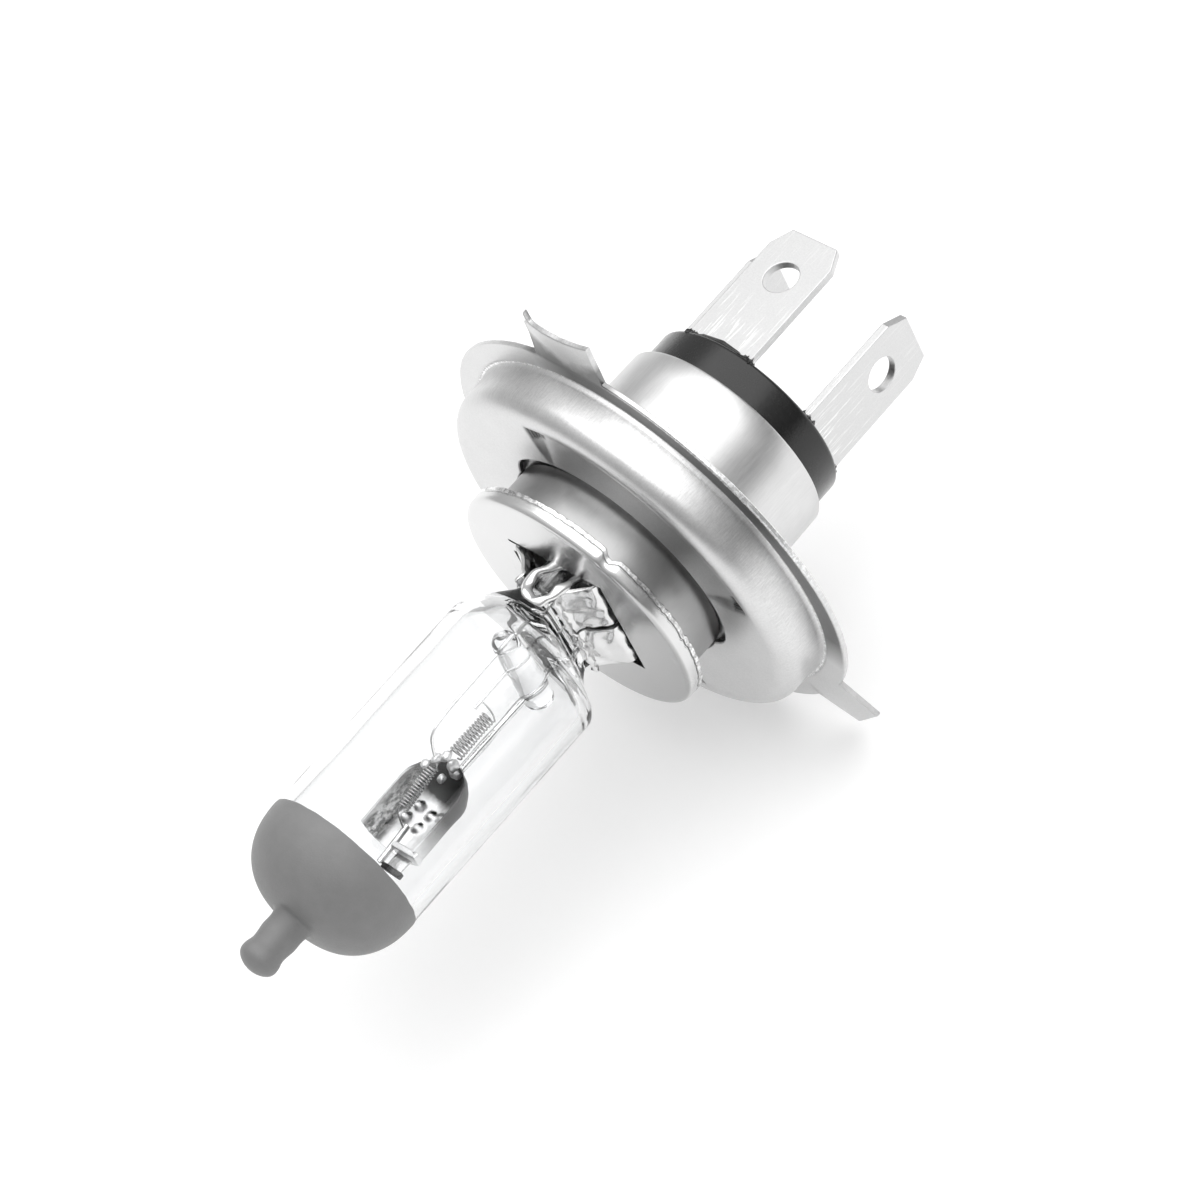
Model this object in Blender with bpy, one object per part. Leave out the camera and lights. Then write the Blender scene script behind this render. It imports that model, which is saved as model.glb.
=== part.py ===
"""Two-filament halogen headlight bulb on a 43 mm locating ring, as separate solids.

Frame: +Y is the bulb's axis, pointing from the glass tip to the contact blades, +Z is up as the
bulb sits in a headlamp, and the origin is on the axis in the plane of the ring's seating face.
"""
import math

import bmesh
import bpy
from mathutils import Matrix, Vector

MM = 0.001
GAP = 0.3                      # clearance between neighbouring pieces, mm

# Locating ring: a pressed cup with a flat flange and three lugs
FLANGE_R = 21.5
FLANGE_T = 0.5
CUP_R = 19.0
CUP_DEPTH = 4.5
CUP_SHEET = 0.55
SHOULDER_R = 1.8
HOLE_R = 12.0                  # open side of the hole, a crescent gap round the sleeve
HOLE_TIGHT_R = 11.25           # side on which the ring is welded to the sleeve
HOLE_OPEN = (-36.0, 140.0)     # degrees from +X towards +Z
STEP_R = 16.65                 # arc along which the front face is sheared and pushed in
STEP_D = 0.45
STEP_SPAN = 95.0
STEP_CENTRES = (55.0, 235.0)
LUG_REACH = 25.6
LUGS = ((90.0, 4.0), (-45.0, 3.0), (-135.0, 3.0))      # angle, half width
LUG_CURL = 0.35                # how far a lug's edges stand back from its middle

# Sleeve, front cap and holder that carry the glass burner
SLEEVE_R = 10.95
SLEEVE_T = 0.45
SLEEVE_FRONT = -9.2
SLEEVE_REAR = -4.0
DISC_R = 12.6
DISC_FRONT = -9.9
DISC_RIM = 1.7
DISC_SHEET = 0.4
DISC_ROUND = 0.8
WINDOW_X = 5.6
WINDOW_Z = 6.2
TONGUE_Z = 5.2
HOLDER_FRONT = -7.4
HOLDER_T = 0.5

# Base shell, insulator and contact blades
SHELL_R = 10.7
SHELL_REAR_R = 10.5
SHELL_T = 0.45
SHELL_REAR = 10.4
SHELL_FOOT_R = 13.0
INSULATOR_R = 9.75
INSULATOR_FRONT = 6.5
INSULATOR_REAR = 13.7
BLADE_W = 7.4
BLADE_T = 0.8
BLADE_END = 26.9
BLADE_TAIL = 3.6
BLADE_TAIL_W = 4.0
BLADE_CHAMFER = (1.05, 2.1)    # across and along the blade
BLADE_HOLE_R = 1.65
BLADE_HOLE_Y = 22.2
BLADE_OFFSET = 8.75            # axis to the outer face of the upper blade
SIDE_OFFSET = 8.45             # axis to the outer faces of the side blades
SLOT_CLEAR = 0.12

# Quartz burner
TUBE_R = 7.7
TUBE_WALL = 1.1
TUBE_REAR = -16.4
PAINT_EDGE = -40.3
DOME_NECK = -47.0
TIP_END = -52.6
NIPPLE_R = 1.75
PAINT_T = 0.2
PINCH_X = 1.9
PINCH_Z = 5.5
PINCH_FRONT = -13.6
PINCH_REAR = -4.6
LEAD_Z = (3.3, 0.0, -3.3)      # dipped, main and common leads
LEAD_R = 0.35
FOIL_W = 2.0
FOIL_T = 0.16
FOIL_FRONT = -12.0
BRIDGE_Y = -17.4
BRIDGE_R = 1.4
BRIDGE_HALF = 5.0
BRIDGE_DROP = 0.6

# Filaments and shield
COIL_R = 0.58
COIL_WIRE_R = 0.11
MAIN_COIL = (-22.3, -26.8, -1.3, 15)       # rear end, front end, height, turns
DIPPED_COIL = (-29.0, -33.6, -0.6, 16)
SHIELD_REAR = -27.3
SHIELD_FRONT = -35.9
SHIELD_HALF = 3.6
SHIELD_RIM = -2.0
SHIELD_DEPTH = 3.6
SHIELD_NOSE = 3.3
SHIELD_T = 0.3

AXIS_SEGMENTS = 48


def clear_scene():
    for obj in list(bpy.data.objects):
        bpy.data.objects.remove(obj, do_unlink=True)


def material(name, colour, roughness, metallic=0.0):
    mat = bpy.data.materials.get(name)
    if mat:
        return mat
    mat = bpy.data.materials.new(name)
    mat.use_nodes = True
    shader = mat.node_tree.nodes["Principled BSDF"]
    shader.inputs["Base Color"].default_value = (*colour, 1.0)
    shader.inputs["Roughness"].default_value = roughness
    shader.inputs["Metallic"].default_value = metallic
    return mat


def quartz():
    return material("quartz", (0.92, 0.94, 0.95), 0.03)


def grey_coat():
    return material("grey_coat", (0.10, 0.10, 0.10), 0.55)


def ring_steel():
    return material("ring_steel", (0.62, 0.62, 0.62), 0.28, 1.0)


def shell_steel():
    return material("shell_steel", (0.66, 0.66, 0.66), 0.34, 1.0)


def blade_metal():
    return material("blade_metal", (0.60, 0.60, 0.59), 0.38, 1.0)


def black_resin():
    return material("black_resin", (0.012, 0.012, 0.012), 0.25)


def tungsten():
    return material("tungsten", (0.30, 0.30, 0.30), 0.40, 1.0)


def molybdenum():
    return material("molybdenum", (0.42, 0.42, 0.43), 0.30, 1.0)


def add_object(name, bm, mat, smooth=40.0):
    """Finish a mesh given in millimetres: outward faces, metres, material and shading."""
    bmesh.ops.recalc_face_normals(bm, faces=bm.faces)
    bmesh.ops.scale(bm, vec=(MM, MM, MM), verts=bm.verts)
    mesh = bpy.data.meshes.new(name)
    bm.to_mesh(mesh)
    bm.free()
    mesh.shade_smooth()
    mesh.set_sharp_from_angle(angle=math.radians(smooth))
    mesh.materials.append(mat)
    obj = bpy.data.objects.new(name, mesh)
    bpy.context.scene.collection.objects.link(obj)
    return obj


def skin(rings, closed_loop=False, capped=True):
    """Faces between consecutive rings of points; the ends are capped unless the rings join up."""
    bm = bmesh.new()
    rows = [[bm.verts.new(p) for p in ring] for ring in rings]
    count = len(rows[0])
    pairs = list(zip(rows, rows[1:]))
    if closed_loop:
        pairs.append((rows[-1], rows[0]))
    for low, high in pairs:
        for i in range(count):
            j = (i + 1) % count
            bm.faces.new((low[i], low[j], high[j], high[i]))
    if capped and not closed_loop:
        bm.faces.new(rows[0])
        bm.faces.new(rows[-1])
    return bm


def polar(radius, y, degrees):
    angle = math.radians(degrees)
    return Vector((radius * math.cos(angle), y, radius * math.sin(angle)))


def turned(profile, segments=AXIS_SEGMENTS):
    """A ring-shaped solid: a closed (radius, y) profile turned about the Y axis."""
    angles = [360.0 * i / segments for i in range(segments)]
    return skin([[polar(r, y, a) for r, y in profile] for a in angles], closed_loop=True)


def plug(profile, segments=AXIS_SEGMENTS):
    """A solid turned piece: (radius, y) points from one flat end to the other."""
    angles = [360.0 * i / segments for i in range(segments)]
    return skin([[polar(r, y, a) for a in angles] for r, y in profile])


def box(low, high):
    bm = bmesh.new()
    bmesh.ops.create_cube(bm, size=1.0)
    size = [h - l for l, h in zip(low, high)]
    middle = [(h + l) / 2.0 for l, h in zip(low, high)]
    bmesh.ops.scale(bm, vec=size, verts=bm.verts)
    bmesh.ops.translate(bm, vec=middle, verts=bm.verts)
    return bm


def rod(start, end, radius, segments=24):
    """A plain cylinder between two points."""
    start, end = Vector(start), Vector(end)
    bm = bmesh.new()
    bmesh.ops.create_cone(bm, cap_ends=True, segments=segments, radius1=radius, radius2=radius,
                          depth=(end - start).length)
    turn = Vector((0, 0, 1)).rotation_difference(end - start).to_matrix().to_4x4()
    place = Matrix.Translation((start + end) / 2.0) @ turn
    bmesh.ops.transform(bm, matrix=place, verts=bm.verts)
    return bm


def arc(centre, radius, first, last, steps):
    """Points of an arc in a (radius, y) profile, both ends included; angles in degrees."""
    points = []
    for i in range(steps + 1):
        angle = math.radians(first + (last - first) * i / steps)
        points.append((centre[0] + radius * math.cos(angle), centre[1] + radius * math.sin(angle)))
    return points


def wire(path, radius, sides=8):
    """A round wire along a list of points, with flat ends."""
    path = [Vector(p) for p in path]
    tangents = []
    for i in range(len(path)):
        ahead = path[min(i + 1, len(path) - 1)]
        behind = path[max(i - 1, 0)]
        tangents.append((ahead - behind).normalized())
    normal = tangents[0].orthogonal().normalized()
    rings = []
    for i, (point, tangent) in enumerate(zip(path, tangents)):
        if i:
            normal = tangents[i - 1].rotation_difference(tangent) @ normal
        normal = (normal - tangent * normal.dot(tangent)).normalized()
        side = tangent.cross(normal)
        ring = []
        for k in range(sides):
            angle = 2.0 * math.pi * k / sides
            ring.append(point + radius * (math.cos(angle) * normal + math.sin(angle) * side))
        rings.append(ring)
    return skin(rings)


def rounded_path(corners, bend=0.8, steps=4):
    """A polyline through the corners with each inner corner rounded off."""
    corners = [Vector(c) for c in corners]
    points = [corners[0]]
    for before, corner, after in zip(corners, corners[1:], corners[2:]):
        start = corner + (before - corner).normalized() * bend
        end = corner + (after - corner).normalized() * bend
        for i in range(steps + 1):
            t = i / steps
            points.append((1 - t) ** 2 * start + 2 * t * (1 - t) * corner + t * t * end)
    points.append(corners[-1])
    return points


def cut(target, name, bm):
    """Subtract a cutter solid, given in millimetres, from an object."""
    cutter = add_object(name, bm, black_resin())
    cutter.hide_render = True
    cutter.display_type = "WIRE"
    modifier = target.modifiers.new(name, "BOOLEAN")
    modifier.operation = "DIFFERENCE"
    modifier.object = cutter


def join(target, name, bm):
    """Unite a solid, given in millimetres, with an object."""
    extra = add_object(name, bm, black_resin())
    extra.hide_render = True
    extra.display_type = "WIRE"
    modifier = target.modifiers.new(name, "BOOLEAN")
    modifier.operation = "UNION"
    modifier.object = extra


# ---- locating ring ---------------------------------------------------------------------------

def wrapped(degrees):
    return (degrees + 180.0) % 360.0 - 180.0


def lug_edges(half):
    """Angles from a lug's middle to the corner of its end and to the root of its side."""
    corner = math.degrees(math.atan2(half, LUG_REACH))
    root = math.degrees(math.asin(half / FLANGE_R))
    return corner, root


def rim_radius(degrees):
    for middle, half in LUGS:
        corner, root = lug_edges(half)
        off = abs(wrapped(degrees - middle))
        if off <= corner + 1e-6:
            return LUG_REACH / math.cos(math.radians(off))
        if off < root:
            return half / math.sin(math.radians(off))
    return FLANGE_R


def rim_set_back(degrees):
    for middle, half in LUGS:
        corner, root = lug_edges(half)
        off = abs(wrapped(degrees - middle))
        if off <= root:
            return LUG_CURL * min(1.0, off / corner) ** 2 * min(1.0, (root - off) / (root - corner))
    return 0.0


def step_depth(degrees):
    for middle in STEP_CENTRES:
        off = abs(wrapped(degrees - middle))
        if off <= STEP_SPAN / 2.0:
            return STEP_D
    return 0.0


def hole_radius(degrees):
    first, last = HOLE_OPEN
    inside = first <= wrapped(degrees) <= last
    return HOLE_R if inside else HOLE_TIGHT_R


def ring_angles():
    """Even steps round the ring, plus every angle at which its section changes."""
    marks = []
    for middle, half in LUGS:
        corner, root = lug_edges(half)
        for off in (0.0, corner * 0.5, corner, root):
            marks += [middle + off, middle - off]
    edges = [c + s * STEP_SPAN / 2.0 for c in STEP_CENTRES for s in (-1, 1)] + list(HOLE_OPEN)
    for edge in edges:
        marks += [edge - 0.4, edge + 0.4]
    even = [6.0 * i for i in range(60)]
    angles = {round(m % 360.0, 3) for m in marks}
    angles |= {e for e in even if min(abs(wrapped(e - m)) for m in marks) > 1.5}
    return sorted(angles)


def ring_profile(degrees):
    """Section of the ring at one angle, from the flange's edge in to the hole and back."""
    rim = rim_radius(degrees)
    back = rim_set_back(degrees)
    depth = step_depth(degrees)
    hole = hole_radius(degrees)
    middle = (20.2 + rim) / 2.0
    front, rear = -CUP_DEPTH, -CUP_DEPTH + CUP_SHEET
    flat = CUP_R - SHOULDER_R
    half_step = (STEP_R + hole) / 2.0
    centre = (flat, front + SHOULDER_R)
    points = [(rim, FLANGE_T + back), (rim, back), (middle, back * 0.4), (CUP_R + 0.3, 0.0),
              (CUP_R, -0.25)]
    points += arc(centre, SHOULDER_R, 0.0, -90.0, 3)
    points += [(STEP_R + 0.12, front), (STEP_R, front + depth), (half_step, front + depth / 2.0),
               (hole, front), (hole, rear), (half_step, rear + depth / 2.0),
               (STEP_R, rear + depth)]
    points += arc(centre, SHOULDER_R - CUP_SHEET, -90.0, 0.0, 2)
    points += [(CUP_R - CUP_SHEET, FLANGE_T), (middle, FLANGE_T + back * 0.4)]
    return points


def make_locating_ring():
    rings = [[polar(r, y, a) for r, y in ring_profile(a)] for a in ring_angles()]
    add_object("locating_ring", skin(rings, closed_loop=True), ring_steel(), 30.0)


# ---- sleeve, front cap, holder ---------------------------------------------------------------

def make_sleeve():
    inner = SLEEVE_R - SLEEVE_T
    profile = [(SLEEVE_R, SLEEVE_REAR), (SLEEVE_R, SLEEVE_FRONT), (inner, SLEEVE_FRONT),
               (inner, SLEEVE_REAR)]
    add_object("sleeve", turned(profile), ring_steel(), 30.0)


def tongue(side):
    """A strip bent forward out of the cap's window until it bears on the pinch."""
    root, tip = WINDOW_X + 0.1, PINCH_X + GAP + 0.15
    lift = 1.9
    front, rear = DISC_FRONT, DISC_FRONT + DISC_SHEET
    outline = [(root, rear), (root, front), (tip, front - lift), (tip, rear - lift + 0.1)]
    rings = [[Vector((side * x, y, z)) for x, y in outline] for z in (-TONGUE_Z, TONGUE_Z)]
    return skin(rings)


def make_front_cap():
    rear = DISC_FRONT + DISC_SHEET
    centre = (DISC_R - DISC_ROUND, DISC_FRONT + DISC_ROUND)
    inner = DISC_R - DISC_SHEET
    bore = 2.0
    profile = [(DISC_R, DISC_FRONT + DISC_RIM)]
    profile += arc(centre, DISC_ROUND, 0.0, -90.0, 3)
    profile += [(bore, DISC_FRONT), (bore, rear), (inner - DISC_ROUND + DISC_SHEET, rear),
                (inner, rear + DISC_ROUND - DISC_SHEET), (inner, DISC_FRONT + DISC_RIM)]
    cap = add_object("front_cap", turned(profile), ring_steel(), 30.0)
    low = (-WINDOW_X, DISC_FRONT - 1.0, -WINDOW_Z)
    high = (WINDOW_X, rear + 1.0, WINDOW_Z)
    cut(cap, "cap_window", box(low, high))
    for side, name in ((1, "tongue_right"), (-1, "tongue_left")):
        join(cap, name, tongue(side))


def make_burner_holder():
    """A plate across the sleeve with a turned-up collar that grips the pinch."""
    outer = SLEEVE_R - SLEEVE_T - GAP
    rear = HOLDER_FRONT + HOLDER_T
    plate = [(outer, rear), (outer, HOLDER_FRONT), (1.0, HOLDER_FRONT), (1.0, rear)]
    holder = add_object("burner_holder", turned(plate), ring_steel(), 30.0)
    reach = GAP + 0.45
    low = (-PINCH_X - reach, HOLDER_FRONT + 0.1, -PINCH_Z - reach)
    high = (PINCH_X + reach, rear + 1.6, PINCH_Z + reach)
    join(holder, "holder_collar", box(low, high))
    low = (-PINCH_X - GAP, HOLDER_FRONT - 1.0, -PINCH_Z - GAP)
    high = (PINCH_X + GAP, rear + 3.0, PINCH_Z + GAP)
    cut(holder, "holder_slot", box(low, high))


# ---- base ------------------------------------------------------------------------------------

def make_base_shell():
    front = -CUP_DEPTH + CUP_SHEET + GAP
    inner = SHELL_REAR_R - SHELL_T
    profile = [(SHELL_FOOT_R, front), (inner, front), (inner, SHELL_REAR),
               (SHELL_REAR_R - 0.1, SHELL_REAR), (SHELL_REAR_R, SHELL_REAR - 0.1),
               (SHELL_REAR_R, SHELL_REAR - 0.9), (SHELL_REAR_R - 0.08, SHELL_REAR - 1.0),
               (SHELL_REAR_R, SHELL_REAR - 1.1), (SHELL_R, 0.0),
               (SHELL_R, front + 0.9), (SHELL_R + 0.45, front + 0.45),
               (SHELL_FOOT_R, front + 0.45)]
    add_object("base_shell", turned(profile), shell_steel(), 30.0)


def blade_section(turn, offset, grow=0.0):
    """The four (x, z) corners of a blade's section, for a blade turned about the axis."""
    half = BLADE_W / 2.0 + grow
    outer, inner = offset + grow, offset - BLADE_T - grow
    corners = [(-half, inner), (half, inner), (half, outer), (-half, outer)]
    c, s = math.cos(math.radians(turn)), math.sin(math.radians(turn))
    return [(x * c - z * s, x * s + z * c) for x, z in corners]


BLADES = (("blade_top", 0.0, BLADE_OFFSET), ("blade_right", -90.0, SIDE_OFFSET),
          ("blade_left", 90.0, SIDE_OFFSET))


def make_insulator():
    edge = 0.35
    profile = [(INSULATOR_R, INSULATOR_FRONT), (INSULATOR_R, INSULATOR_REAR - edge),
               (INSULATOR_R - edge, INSULATOR_REAR)]
    body = add_object("insulator", plug(profile), black_resin(), 30.0)
    for name, turn, offset in BLADES:
        section = blade_section(turn, offset, SLOT_CLEAR)
        rings = [[Vector((x, y, z)) for x, z in section]
                 for y in (INSULATOR_FRONT - 1.0, INSULATOR_REAR + 1.0)]
        cut(body, "slot_" + name, skin(rings))


def make_blade(name, turn, offset):
    half, tail = BLADE_W / 2.0, BLADE_TAIL_W / 2.0
    across, along = BLADE_CHAMFER
    shoulder = INSULATOR_FRONT + 0.4
    side = [(tail, BLADE_TAIL), (tail, shoulder), (half, shoulder + half - tail),
            (half, BLADE_END - along), (half - across, BLADE_END)]
    outline = side + [(-x, y) for x, y in reversed(side)]
    turned_by = Matrix.Rotation(math.radians(-turn), 4, "Y")
    rings = [[turned_by @ Vector((x, y, z)) for x, y in outline]
             for z in (offset - BLADE_T, offset)]
    blade = add_object(name, skin(rings), blade_metal(), 30.0)
    hole = rod(turned_by @ Vector((0, BLADE_HOLE_Y, offset - 3.0)),
               turned_by @ Vector((0, BLADE_HOLE_Y, offset + 3.0)), BLADE_HOLE_R, 32)
    cut(blade, "hole_" + name, hole)


def outer_lead_path(height, turn, offset):
    """From the rear of the pinch to the inner face of a blade's tail."""
    inset = offset - BLADE_T - GAP - LEAD_R
    turned_by = Matrix.Rotation(math.radians(-turn), 4, "Y")
    start = Vector((0.0, PINCH_REAR + GAP, height))
    knee = Vector((0.0, PINCH_REAR + 2.2, height))
    foot = turned_by @ Vector((0.0, BLADE_TAIL + 0.4, inset))
    end = turned_by @ Vector((0.0, BLADE_TAIL + 2.2, inset))
    return rounded_path([start, knee, foot, end], 0.7)


# ---- quartz burner ---------------------------------------------------------------------------

def oval(half_x, half_z, y, power, count=32):
    """A ring between a circle (power 2) and a rounded rectangle (higher powers)."""
    points = []
    for i in range(count):
        angle = 2.0 * math.pi * i / count
        c, s = math.cos(angle), math.sin(angle)
        x = half_x * math.copysign(abs(c) ** (2.0 / power), c)
        z = half_z * math.copysign(abs(s) ** (2.0 / power), s)
        points.append(Vector((x, y, z)))
    return points


def dome_radius(y, radius, neck_r):
    """Radius of the domed end between the tube and the neck of the nipple."""
    t = (PAINT_EDGE - y) / (PAINT_EDGE - DOME_NECK)
    return neck_r + (radius - neck_r) * math.sqrt(max(0.0, 1.0 - t ** 2.4))


def nipple_radius(y):
    """The sealed-off stem: a slightly wavy rod with a rounded end."""
    t = (DOME_NECK - y) / (DOME_NECK - TIP_END)
    wave = 1.0 + 0.06 * math.sin(2.0 * math.pi * 1.4 * t)
    return NIPPLE_R * wave * math.sqrt(max(0.0, 1.0 - max(0.0, (t - 0.72) / 0.28) ** 2))


def glass_outline(inset=0.0, last=0.98):
    """(radius, y) points of the painted end, from the paint's edge to the tip."""
    points = []
    for i in range(6):
        t = i / 6.0
        y = PAINT_EDGE + (DOME_NECK - PAINT_EDGE) * math.sin(t * math.pi / 2.0)
        points.append((dome_radius(y, TUBE_R, NIPPLE_R) - inset, y))
    for i in range(8):
        t = last * i / 7.0
        y = DOME_NECK + (TIP_END - DOME_NECK) * t
        points.append((max(0.25, nipple_radius(y) - inset), y + inset * t))
    return points


def make_quartz_envelope():
    stage = [(TUBE_REAR, 0.0), (TUBE_REAR + 0.9, 0.18), (TUBE_REAR + 1.7, 0.55),
             (TUBE_REAR + 2.3, 0.85), (TUBE_REAR + 2.6, 0.97)]
    outer, inner = [], []
    for y, t in reversed(stage):
        half_x = TUBE_R + (PINCH_X + 1.1 - TUBE_R) * t
        half_z = TUBE_R + (PINCH_Z + 0.9 - TUBE_R) * t
        outer.append(oval(half_x, half_z, y, 2.0 + t))
        inner.append(oval(half_x - TUBE_WALL, half_z - TUBE_WALL, y - 0.02, 2.0 + t))
    outer.append(oval(TUBE_R, TUBE_R, PAINT_EDGE + GAP / 2.0, 2.0))
    for r, y in glass_outline(PAINT_T + 0.1, 0.89):
        outer.append(oval(r, r, y, 2.0))
    bore = TUBE_R - TUBE_WALL
    inner.append(oval(bore, bore, PAINT_EDGE, 2.0))
    for i in range(1, 6):
        t = i / 6.0
        y = PAINT_EDGE - 5.2 * math.sin(t * math.pi / 2.0)
        inner.append(oval(bore * math.cos(t * math.pi / 2.0), bore * math.cos(t * math.pi / 2.0),
                          y, 2.0))
    bm = bmesh.new()
    rows = [[bm.verts.new(p) for p in ring] for ring in outer + list(reversed(inner))]
    count = len(rows[0])
    seam = len(outer) - 1
    for k, (low, high) in enumerate(zip(rows, rows[1:])):
        if k == seam:
            continue
        for i in range(count):
            j = (i + 1) % count
            bm.faces.new((low[i], low[j], high[j], high[i]))
    for i in range(count):
        j = (i + 1) % count
        bm.faces.new((rows[0][i], rows[0][j], rows[-1][j], rows[-1][i]))
    bm.faces.new(rows[seam])
    bm.faces.new(rows[seam + 1])
    add_object("quartz_envelope", bm, quartz())


def make_antiglare_cap():
    """The grey coat over the dome and stem, as a thin shell that is open behind."""
    outer = [oval(r, r, y, 2.0) for r, y in glass_outline()]
    inner = [oval(r, r, y, 2.0) for r, y in glass_outline(PAINT_T, 0.94)]
    rings = outer + list(reversed(inner))
    bm = bmesh.new()
    rows = [[bm.verts.new(p) for p in ring] for ring in rings]
    count = len(rows[0])
    seam = len(outer) - 1
    for k in range(len(rows)):
        if k == seam:
            continue
        low, high = rows[k], rows[(k + 1) % len(rows)]
        for i in range(count):
            j = (i + 1) % count
            bm.faces.new((low[i], low[j], high[j], high[i]))
    bm.faces.new(rows[seam])
    bm.faces.new(rows[seam + 1])
    add_object("antiglare_cap", bm, grey_coat())


def make_pinch_seal():
    """Flattened quartz with a pocket for each foil, open behind, and a bore for each lead."""
    rings = [oval(PINCH_X, PINCH_Z, PINCH_FRONT, 5.0, 32), oval(PINCH_X, PINCH_Z, PINCH_REAR, 5.0, 32)]
    seal = add_object("pinch_seal", skin(rings), quartz(), 30.0)
    for i, z in enumerate(LEAD_Z):
        reach = FOIL_W / 2.0 + 0.2
        thick = FOIL_T / 2.0 + 0.2
        low = (-thick, FOIL_FRONT - 0.3, z - reach)
        high = (thick, PINCH_REAR + 1.0, z + reach)
        cut(seal, "pocket_%d" % i, box(low, high))
        bore = rod((0, PINCH_FRONT - 1.0, z), (0, FOIL_FRONT + 0.2, z), LEAD_R + 0.2, 16)
        cut(seal, "bore_%d" % i, bore)


def make_foils():
    for name, z in zip(("foil_dipped", "foil_main", "foil_common"), LEAD_Z):
        low = (-FOIL_T / 2.0, FOIL_FRONT + 0.1, z - FOIL_W / 2.0)
        high = (FOIL_T / 2.0, PINCH_REAR - 0.1, z + FOIL_W / 2.0)
        add_object(name, box(low, high), molybdenum())


def make_quartz_bridge():
    """The bead that ties the three leads together inside the tube."""
    rings = []
    steps = 5
    for side in (-1, 1):
        row = []
        for i in range(steps + 1):
            t = math.pi / 2.0 * i / steps
            r = max(0.25, BRIDGE_R * math.cos(t))
            z = side * (BRIDGE_HALF - BRIDGE_R + BRIDGE_R * math.sin(t)) - BRIDGE_DROP
            row.append([Vector((r * math.cos(a), BRIDGE_Y + r * math.sin(a), z))
                        for a in [2.0 * math.pi * k / 24 for k in range(24)]])
        rings += row[::-1] if side < 0 else row
    bridge = add_object("quartz_bridge", skin(rings), quartz())
    for i, z in enumerate(LEAD_Z):
        start, end = (0, BRIDGE_Y - 3.0, z), (0, BRIDGE_Y + 3.0, z)
        cut(bridge, "bridge_bore_%d" % i, rod(start, end, LEAD_R + 0.25, 16))


# ---- filaments, leads, shield ----------------------------------------------------------------

def coil_path(rear, front, height, turns, per_turn=8):
    """Helix about an axis parallel to Y, ending in two short straight legs."""
    points = []
    total = turns * per_turn
    for i in range(total + 1):
        angle = 2.0 * math.pi * i / per_turn + math.pi / 2.0
        y = rear + (front - rear) * i / total
        points.append(Vector((COIL_R * math.cos(angle), y, height + COIL_R * math.sin(angle))))
    return points


def make_filaments():
    rear, front, height, turns = MAIN_COIL
    path = coil_path(rear, front, height, turns)
    path = [Vector((0.2, rear + 0.9, height + COIL_R + 0.1)), *path]
    path += [Vector((-0.4, front - 0.3, height + 0.2)), Vector((-0.6, front - 0.3, height - 0.9))]
    add_object("main_filament", wire(path, COIL_WIRE_R, 4), tungsten())
    rear, front, height, turns = DIPPED_COIL
    path = coil_path(rear, front, height, turns)
    path = [Vector((0.1, rear + 0.45, height + COIL_R + 1.3)),
            Vector((0.1, rear + 0.35, height + COIL_R + 0.2)), *path]
    path += [Vector((-0.3, front - 0.4, height - 0.1)), Vector((-0.2, front - 0.6, height - 1.5))]
    add_object("dipped_filament", wire(path, COIL_WIRE_R, 4), tungsten())


def make_inner_leads():
    start = FOIL_FRONT - 0.2
    dipped, main, common = LEAD_Z
    rear, height = MAIN_COIL[0], MAIN_COIL[2]
    path = rounded_path([(0, start, main), (0, rear + 2.6, main), (0, rear + 1.5, height + 0.95)], 0.5)
    add_object("lead_main", wire(path, LEAD_R * 0.8), molybdenum())
    rear, height = DIPPED_COIL[0], DIPPED_COIL[2]
    path = rounded_path([(0, start, dipped), (0, rear + 1.6, dipped),
                         (0.1, rear + 0.55, height + COIL_R + 1.8)], 0.7)
    add_object("lead_dipped", wire(path, LEAD_R * 0.8), molybdenum())
    path = rounded_path([(0, start, common), (0, -22.0, common), (0, SHIELD_REAR + 0.35, common - 0.2)], 0.7)
    add_object("lead_common", wire(path, LEAD_R), molybdenum())
    front = DIPPED_COIL[1]
    path = [(0.2, front + 0.1, -3.0), (0.2, SHIELD_FRONT - 1.8, -3.0)]
    add_object("filament_post", wire(path, 0.3), molybdenum())


def shield_section(y, inset):
    """Half-oval section of the cup at one place along the axis."""
    nose = SHIELD_REAR - SHIELD_NOSE
    t = max(0.0, (y - nose) / SHIELD_NOSE)
    fade = max(0.16, math.sqrt(max(0.0, 1.0 - t * t)))
    half = SHIELD_HALF * fade - inset
    depth = SHIELD_DEPTH * fade - inset
    steps = 12
    return [Vector((half * math.cos(math.pi * k / steps), y,
                    SHIELD_RIM - depth * math.sin(math.pi * k / steps))) for k in range(steps + 1)]


def make_shield():
    """A spoon-shaped cup under the dipped filament, rounded behind and open in front."""
    count = 10
    rings = []
    for i in range(count + 1):
        t = math.sin(math.pi / 2.0 * i / count)
        y = SHIELD_FRONT + (SHIELD_REAR - SHIELD_FRONT) * t
        outer = shield_section(y, 0.0)
        inner = shield_section(y, SHIELD_T)
        rings.append(outer + inner[::-1])
    add_object("dipped_shield", skin(rings), molybdenum())


def make_outer_leads():
    for (name, turn, offset), height in zip(BLADES, LEAD_Z):
        lead = "outer_lead_" + name.replace("blade_", "")
        path = outer_lead_path(height, turn, offset)
        add_object(lead, wire(path, LEAD_R), blade_metal())


def main():
    clear_scene()
    make_locating_ring()
    make_sleeve()
    make_front_cap()
    make_burner_holder()
    make_base_shell()
    make_insulator()
    for name, turn, offset in BLADES:
        make_blade(name, turn, offset)
    make_outer_leads()
    make_quartz_envelope()
    make_antiglare_cap()
    make_pinch_seal()
    make_foils()
    make_quartz_bridge()
    make_filaments()
    make_inner_leads()
    make_shield()


main()
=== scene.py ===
import math

import bmesh
import bpy
from mathutils import Matrix, Vector, noise


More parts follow.
